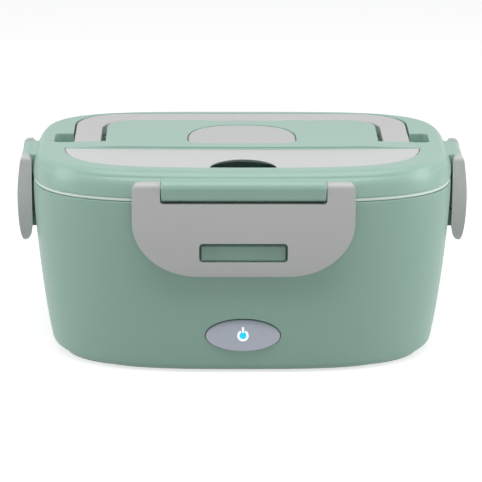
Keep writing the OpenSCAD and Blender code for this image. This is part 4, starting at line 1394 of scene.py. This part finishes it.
    def rings(self) -> list[Ring]:
        """The outside of the lid, from its skirt to its top face."""
        mean = (self.shoulder_front + self.shoulder_back) / 2
        off = (self.shoulder_front - self.shoulder_back) / 2
        rings = []
        for height, share in smooth_profile(self.profile, 4):
            outline = oval(BOX.rim_w / 2 - self.shoulder_w * share,
                           BOX.rim_d / 2 - mean * share, FINE,
                           BOX.plan_n + (self.top_n - BOX.plan_n) * share)
            z = BOX.skirt_z + BOX.lid_h * height
            rings.append([(x, y + off * share, z) for x, y in outline])
        return rings

    def sink_handle(self, obj: bpy.types.Object) -> None:
        """Cuts the channel of the handle and the pockets at its ends.

        Args:
            obj: The lid.
        """
        combine(obj, loft("channel", lip(self.channel, self.channel_z, BOX.lid_z, 0.7, 0.5)))
        for side in (-1, 1):
            combine(obj, loft("pocket", lip(self.pocket(side), self.pocket_z, BOX.lid_z, 0.7, 1.5)))

    def raise_panel(self, obj: bpy.types.Object) -> None:
        """Adds the panel, with the slits beside the legs and the scoop under the bar.

        Args:
            obj: The lid.
        """
        land = [at_height(self.land(0), self.channel_z - 0.5)]
        land += [at_height(self.land(self.land_round * (math.cos(a) - 1)),
                           BOX.top_z - self.land_round * (1 - math.sin(a))) for a in quarter(6)]
        panel = loft("panel", land)
        combine(panel, prism("crown", self.crown(), -90, 90, upright), Join.CROSS)
        combine(obj, panel, Join.ADD)
        for side in (-1, 1):
            gap = round_rect(self.leg_gap - 2 * self.slit_play, self.slit_l, self.slit_r,
                             side * (self.inner + self.leg_gap / 2),
                             self.pocket_front + self.slit_play + self.slit_l / 2)
            combine(obj, prism("slit", gap, self.slit_z, self.channel_z + 2))
        combine(obj, loft("scoop", lip(self.scoop, self.channel_z, BOX.top_z, 0.5)))

    def cut_seats(self, obj: bpy.types.Object) -> None:
        """Cuts the seats of the vent cap and the cover, the cutlery bin and the steam hole.

        Args:
            obj: The lid.
        """
        combine(obj, loft("cap_seat", lip(lambda g: self.cap(self.cap_gap + g), self.cap_z - 0.1,
                                          BOX.top_z, 0.4)))
        combine(obj, loft("cover_seat", lip(lambda g: self.cover(self.cover_gap + g),
                                            self.cover_z - 0.1, BOX.lid_z, 0.5)))
        combine(obj, loft("bin", lip(lambda g: self.cover(g - self.ledge), self.bin_floor,
                                     self.cover_z, 0.4, 2.5, 1.0)))
        steam = oval(self.steam_r, self.steam_r, 48)
        combine(obj, prism("steam", [(x, y + self.steam_y) for x, y in steam], 90, 112))

    def hinge_bar(self, width: float, turn: float, reach: float, r: float) -> bpy.types.Object:
        """The bar that one latch hangs from, with round ends.

        Args:
            width: Its width.
            turn: Side of the box, in degrees from the front.
            reach: Distance from the middle of the box to the rim.
            r: Its radius round the pivot.

        Returns:
            The bar.
        """
        corner, root = self.bar_corner, BOX.pivot_out + self.bar_root
        outline = ([(root, -self.bar_drop), (root, r - self.bar_back)] + arc(0, 0, r, 90, 180, 16)
                   + arc(self.bar_edge - r + corner, corner - self.bar_drop, corner, 180, 270, 8))
        obj = prism("hinge_bar", outline, -width / 2, width / 2, sideways)
        soften(obj, self.bar_edge)
        shift(obj, BOX.at_pivot(turn, reach))
        return obj

    def build(self, shop: Workshop) -> None:
        """Models and dresses the lid, its liner and its seal.

        Args:
            shop: Dresses them.
        """
        obj = loft("lid_body", self.rings())
        tub = self.cover(self.tub - self.ledge)
        combine(obj, prism("tub", tub, self.bin_floor - self.tub, self.tub_top), Join.ADD)
        self.sink_handle(obj)
        self.raise_panel(obj)
        self.cut_seats(obj)
        for turn in (0, 180):
            combine(obj, self.hinge_bar(self.bar_w, turn, BOX.rim_d / 2, self.bar_r), Join.ADD)
            combine(obj, self.hinge_bar(self.end_bar_w, turn + 90, BOX.rim_w / 2, self.end_bar_r),
                    Join.ADD)
        tidy_mesh(obj, WELD)
        shop.dress(obj, Finish.MINT_LID, Body.LID, ["lid_cover"])
        self.build_seal(shop)
        shop.dress(refine("lid_liner", "lid_liner_soft", 0.5), Finish.LINER, Body.LID,
                   ["lid_liner"])

    def build_seal(self, shop: Workshop) -> None:
        """Models the pale seal, which bulges between the lid and the shell over a joint line.

        Args:
            shop: Dresses it.
        """
        low, high = BOX.rim_z + 0.1, BOX.skirt_z
        sides = ((2.6, low), (1.3, low), (1.3, low + 0.4), (0.6, low + 0.45), (0.36, low + 0.7),
                 (0.28, low + 1.2), (0.34, high - 0.5), (0.6, high - 0.15), (0.9, high),
                 (6.0, high), (6.0, low - 0.4), (3.2, low - 0.4), (3.2, low), (2.6, low))
        obj = loft("silicone_seal", [BOX.rim_ring(z, inset) for inset, z in sides], hollow=True)
        shop.dress(obj, Finish.SEAL, Body.LID, ["lid_seal"])


@dataclass
class LidParts:
    """What moves on the lid: the handle, the vent cap, the cutlery cover and the cutlery."""

    handle_t: float = 6.0
    handle_low: float = 0.3
    handle_edge: float = 0.9
    heel: float = 5.8
    pivot_y: float = 2.2
    cap_foot: float = 0.5
    cap_edge: float = 0.6
    cap_crown: float = 0.35
    plug_gap: float = 0.8
    plug_l: float = 2.2
    cover_t: float = 2.0
    notch_r: float = 17.5
    notch_d: float = 20.4
    notch_cut: tuple[Flat, ...] = ((4.0, -1.0), (0.0, 1.5), (0.0, 9.0))

    def handle(self, lid: Lid, shop: Workshop) -> None:
        """Models the handle, a flat strip bent into a U.

        Args:
            lid: The lid that it lies in.
            shop: Dresses it.
        """
        low = BOX.lid_z - self.handle_low - self.handle_t
        front, half, back = self.pivot_y - self.heel, lid.handle_w / 2, lid.handle_back
        inside = lid.arch(half - lid.strip, front, back - lid.bar, lid.handle_in_r)
        outline = lid.arch(half, front, back, lid.handle_r) + inside[::-1]
        obj = prism("handle_bail", outline, low, low + self.handle_t)
        soften(obj, self.handle_edge, 4)
        shop.dress(obj, Finish.HANDLE, Body.HANDLE, ["carry_handle"])

    def vent_cap(self, lid: Lid, shop: Workshop) -> None:
        """Models the soft vent cap, with a slight crown and its plug beneath.

        Args:
            lid: The lid that it lies in.
            shop: Dresses it.
        """
        edge, top = self.cap_edge, BOX.top_z - self.cap_crown
        rings = [at_height(lid.cap(-self.cap_foot), lid.cap_z),
                 at_height(lid.cap(0), lid.cap_z + self.cap_foot)]
        rings += [at_height(lid.cap(edge * (math.cos(a) - 1)), top - edge * (1 - math.sin(a)))
                  for a in quarter(4)]
        centre = lid.cap_front + lid.cap_d * 0.45
        for share in (0.85, 0.65, 0.45, 0.25, 0.08):
            inner = [(x * share, centre + (y - centre) * share) for x, y in lid.cap(-edge)]
            rings.append(at_height(inner, top + self.cap_crown * (1 - share * share)))
        obj = loft("vent_cap_soft", rings)
        r = lid.steam_r - self.plug_gap
        plug = [(x, y + lid.steam_y) for x, y in oval(r, r, 32)]
        combine(obj, prism("plug", plug, lid.cap_z - self.plug_l, lid.cap_z + 1), Join.ADD)
        shop.dress(obj, Finish.CAP, Body.CAP, ["vent_cap"])

    def cutlery_cover(self, lid: Lid, shop: Workshop) -> None:
        """Models the cutlery cover with its finger notch, undercut below.

        Args:
            lid: The lid that it lies in.
            shop: Dresses it.
        """
        obj = prism("cutlery_cover_plate", lid.cover(0), lid.cover_z, lid.cover_z + self.cover_t)
        rings = []
        for grow, height in self.notch_cut:
            notch = oval(self.notch_r + grow, self.notch_d + grow, 96)
            rings.append([(x, y - lid.cover_front, lid.cover_z + height) for x, y in notch])
        combine(obj, loft("notch", rings))
        soften(obj, 0.5)
        shop.dress(obj, Finish.COVER, Body.COVER, ["cutlery_cover"])

    def build(self, lid: Lid, shop: Workshop) -> None:
        """Models and dresses each of them.

        Args:
            lid: The lid that they lie in.
            shop: Dresses them.
        """
        self.handle(lid, shop)
        self.vent_cap(lid, shop)
        self.cutlery_cover(lid, shop)
        for node, body in (("spoon", Body.SPOON), ("fork", Body.FORK)):
            shop.dress(refine(node, f"{node}_soft", 0.3), Finish.STEEL, body, [node])


@dataclass
class Latch:
    """One snap latch, drawn for the front with its pivot at the origin."""

    width: float = 115.6
    arm: float = 14.6
    corner_w: float = 35.5
    corner_h: float = 30.0
    slot_w: float = 46.0
    slot_h: float = 10.5
    slot_top: float = 28.7
    slot_r: float = 2.0
    drop: float = 47.2
    arm_r: float = 3.5
    back_gap: float = 0.5
    bow: float = 4.3
    bow_z: float = 18.0
    bow_n: float = 1.7
    tip: float = 1.2
    plate: float = 2.2
    skirt: float = 2.0
    notch: float = 7.8
    notch_r: float = 1.6
    grip: float = 9.7
    finger: tuple[Flat, ...] = ((0.5, 1.6), (1.9, 4.4))
    mouth: float = 1.0
    shoulder: float = 4.6
    edge: float = 0.7

    def face(self, grow: float) -> Outline:
        """The front outline, with its round lower corners.

        Args:
            grow: How far it is grown.

        Returns:
            The outline.
        """
        half, low = self.width / 2 + grow, -self.drop - grow + self.corner_h
        corner, round_r = self.corner_w + grow, self.shoulder
        right = arc(half - round_r, self.arm_r + grow - round_r, round_r, 90, 0, 8)
        right += [(half - corner + corner * math.cos(a), low - self.corner_h * math.sin(a))
                  for a in (math.pi / 2 * i / 20 for i in range(21))]
        return right + [(-x, z) for x, z in right[::-1]]

    def out(self, depth: float) -> float:
        """How far the face is in front of the pivot.

        Args:
            depth: Distance under the pivot.

        Returns:
            The distance to the face.
        """
        if depth < self.bow_z:
            return self.arm_r + (self.bow - self.arm_r) * math.sin(math.pi / 2 * depth / self.bow_z)
        share = ((depth - self.bow_z) / (self.drop - self.bow_z)) ** self.bow_n
        return self.tip + (self.bow - self.tip) * max(0.0, 1 - share) ** (1 / self.bow_n)

    def depths(self, start: float) -> list[float]:
        """Depths along the face, closer together where it turns in at its tip."""
        share = [1 - (1 - i / 24) ** 2 for i in range(24)]
        return [start + (self.drop - 0.1 - start) * s for s in share]

    def side(self) -> Outline:
        """The side outline, round over the pivot, bowed out and cut back for a finger."""
        back = BOX.pivot_out - self.back_gap
        top = [(self.arm_r * math.cos(a) * (back / self.arm_r if math.cos(a) > 0 else 1),
                self.arm_r * math.sin(a)) for a in (math.pi * i / 24 for i in range(25))]
        front = [(-self.out(z), -z) for z in self.depths(1.5)] + [(-self.tip, -self.drop)]
        finger = [(y, rise - self.drop) for y, rise in self.finger]
        return top + front + finger + [(back + 0.1, self.grip - self.drop)]

    def hollow(self) -> Outline:
        """The side outline of the space behind the plate."""
        top = self.notch + self.skirt
        face = [(self.plate - self.out(z), -z) for z in self.depths(top)]
        return face + [(self.plate - self.tip, -self.drop - 2), (30, -self.drop - 2), (30, -top)]

    def notch_outline(self) -> Outline:
        """The notch for the hinge bar, open at the top."""
        half, r = self.width / 2 - self.arm, self.notch_r
        return ([(half, 20), (-half, 20)] + arc(r - half, r - self.notch, r, 180, 270, 6)
                + arc(half - r, r - self.notch, r, 270, 360, 6))

    def model(self) -> bpy.types.Object:
        """Models the latch at the origin."""
        obj = prism("latch", self.side(), -self.width / 2 - 1, self.width / 2 + 1, sideways)
        combine(obj, prism("face", self.face(0), -12, 12, upright), Join.CROSS)
        combine(obj, prism("notch", self.notch_outline(), -30, 30, upright))
        hollow = prism("hollow", self.face(-self.skirt), -30, 30, upright)
        combine(hollow, prism("room", self.hollow(), -self.width, self.width, sideways), Join.CROSS)
        combine(obj, hollow)
        half, low, high = self.slot_w / 2 + self.mouth, -self.drop - 9, -self.slot_top
        mouth = [(-half, low), (half, low), (half, high), (-half, high)]
        combine(obj, prism("mouth", mouth, -0.4, 40, upright))
        slot = round_rect(self.slot_w, self.slot_h, self.slot_r, 0, high - self.slot_h / 2)
        combine(obj, prism("slot", slot, -30, 40, upright))
        tidy_mesh(obj, WELD)
        soften(obj, self.edge)
        return obj

    def build(self, shop: Workshop, reach: float,
              places: Sequence[tuple[str, float, Body]]) -> None:
        """Models one latch and copies it to its sides.

        Args:
            shop: Dresses the copies.
            reach: Distance from the middle of the box to the rim on those sides.
            places: For each copy the name of its node, its turn in degrees and its body.
        """
        source = self.model()
        for node, turn, body in places:
            copy = twin(source, f"{node}_body")
            shift(copy, BOX.at_pivot(turn, reach))
            shop.dress(copy, Finish.LATCH, body, [node])
        bpy.data.objects.remove(source, do_unlink=True)


FRONT_LATCH = Latch()
END_LATCH = Latch(width=48.0, arm=7.0, corner_w=12.0, slot_w=16.0, drop=45.2, bow=5.0, bow_n=2.1,
                  tip=1.6, shoulder=3.0)


# ---------------------------------------------------------------------------
# The studio
# ---------------------------------------------------------------------------


@dataclass(frozen=True)
class Lamp:
    """A soft rectangular lamp that faces the box."""

    name: str
    place: Point
    size: Flat
    power: float

    def build(self) -> None:
        """Sets the lamp."""
        data = bpy.data.lights.new(self.name, "AREA")
        data.shape = "RECTANGLE"
        data.size, data.size_y = self.size
        data.energy = self.power
        obj = bpy.data.objects.new(self.name, data)
        bpy.context.scene.collection.objects.link(obj)
        obj.location = self.place
        ray = Vector((0, 0, 0.06)) - Vector(self.place)
        obj.rotation_euler = ray.to_track_quat("-Z", "Y").to_euler()


@dataclass
class Studio:
    """The floor, the lamps and the camera. Lengths are in metres, angles in degrees."""

    distance: float = 1.8
    elevation: float = 14.49
    aim: float = 0.0559
    azimuth: float = -0.7
    roll: float = 0.2
    lens: float = 247.1
    shift: Flat = (-0.00125, -0.0087)
    floor_grey: float = 0.56
    floor_glow: float = 0.7
    sky: Colour = (0.96, 0.98, 1.0)
    sky_power: float = 0.27
    lamps: tuple[Lamp, ...] = (
        Lamp("top_lamp", (0.0, -0.36, 1.15), (1.2, 0.8), 8.3),
        Lamp("left_lamp", (-1.1, -0.2, 0.35), (0.5, 0.8), 4.4),
        Lamp("right_lamp", (1.1, -0.2, 0.35), (0.5, 0.8), 5.4))

    def camera(self) -> None:
        """Places the camera at the photograph's angle."""
        data = bpy.data.cameras.new("camera")
        data.lens = self.lens
        data.sensor_width = 36.0
        data.shift_x, data.shift_y = self.shift
        data.clip_start, data.clip_end = 0.05, 50.0
        cam = bpy.data.objects.new("camera", data)
        bpy.context.scene.collection.objects.link(cam)
        rise, turn = math.radians(self.elevation), math.radians(self.azimuth)
        level = self.distance * math.cos(rise)
        place = Vector((level * math.sin(turn), -level * math.cos(turn),
                        self.aim + self.distance * math.sin(rise)))
        cam.location = place
        view = (Vector((0, 0, self.aim)) - place).to_track_quat("-Z", "Y")
        cam.rotation_euler = (view @ Quaternion((0, 0, 1), math.radians(self.roll))).to_euler()
        bpy.context.scene.camera = cam

    @staticmethod
    def seen(tree: bpy.types.ShaderNodeTree) -> bpy.types.NodeSocket:
        """A value of 1 for rays that show the background: direct, in gloss and through glass.

        Args:
            tree: The node tree of the floor or the world.

        Returns:
            The socket with the value.
        """
        rays = tree.nodes.new("ShaderNodeLightPath").outputs
        gloss = reckon(tree, "MAXIMUM", rays["Is Camera Ray"], rays["Is Glossy Ray"])
        return reckon(tree, "MAXIMUM", gloss, rays["Is Transmission Ray"])

    def floor(self) -> None:
        """A pale floor that shows white to the camera and keeps the shadow of the box."""
        bpy.ops.mesh.primitive_grid_add(x_subdivisions=2, y_subdivisions=2, size=40)
        obj = bpy.context.object
        obj.name = "floor"
        material = bpy.data.materials.new("pale_floor")
        material.use_nodes = True
        nodes, link = material.node_tree.nodes, material.node_tree.links.new
        shader = nodes["Principled BSDF"]
        shader.inputs["Base Color"].default_value = (*[self.floor_grey] * 3, 1)
        shader.inputs["Roughness"].default_value = 0.9
        shader.inputs["Specular IOR Level"].default_value = 0.0
        glow = nodes.new("ShaderNodeEmission")
        link(self.seen(material.node_tree), glow.inputs["Strength"])
        glow.inputs["Color"].default_value = (*[self.floor_glow] * 3, 1)
        both = nodes.new("ShaderNodeAddShader")
        link(shader.outputs[0], both.inputs[0])
        link(glow.outputs[0], both.inputs[1])
        link(both.outputs[0], nodes["Material Output"].inputs["Surface"])
        obj.data.materials.append(material)

    def world(self) -> None:
        """A plain even sky, white to the camera."""
        world = bpy.data.worlds.new("studio")
        bpy.context.scene.world = world
        world.use_nodes = True
        nodes, link = world.node_tree.nodes, world.node_tree.links.new
        soft = nodes["Background"]
        soft.inputs["Color"].default_value = (*self.sky, 1)
        soft.inputs["Strength"].default_value = self.sky_power
        white = nodes.new("ShaderNodeBackground")
        white.inputs["Strength"].default_value = 1.0
        mix = nodes.new("ShaderNodeMixShader")
        link(self.seen(world.node_tree), mix.inputs["Fac"])
        link(soft.outputs[0], mix.inputs[1])
        link(white.outputs[0], mix.inputs[2])
        link(mix.outputs[0], nodes["World Output"].inputs["Surface"])

    def build(self) -> None:
        """Sets the whole studio."""
        bpy.context.scene.view_settings.view_transform = "Standard"
        self.camera()
        self.floor()
        self.world()
        for lamp in self.lamps:
            lamp.build()


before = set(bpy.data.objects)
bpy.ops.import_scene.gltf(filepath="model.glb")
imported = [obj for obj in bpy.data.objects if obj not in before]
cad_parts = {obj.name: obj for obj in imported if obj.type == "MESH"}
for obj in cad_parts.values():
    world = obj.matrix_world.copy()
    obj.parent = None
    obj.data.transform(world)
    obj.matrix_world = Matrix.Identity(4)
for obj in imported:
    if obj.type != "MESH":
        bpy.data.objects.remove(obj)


def main() -> None:
    """Builds every sub-assembly around the frame."""
    logging.basicConfig(level=logging.INFO, format="%(message)s")
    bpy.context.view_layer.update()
    shop = Workshop()
    Studio().build()
    Shell().build(shop)
    PowerButton().build(shop)
    BaseParts().build(shop)
    Container().build(shop)
    lid = Lid()
    lid.build(shop)
    LidParts().build(lid, shop)
    FRONT_LATCH.build(shop, BOX.rim_d / 2, (("front_latch", 0, Body.FRONT),
                                            ("back_latch", 180, Body.BACK)))
    END_LATCH.build(shop, BOX.rim_w / 2, (("left_latch", -90, Body.LEFT),
                                          ("right_latch", 90, Body.RIGHT)))


if __name__ == "__main__":
    main()
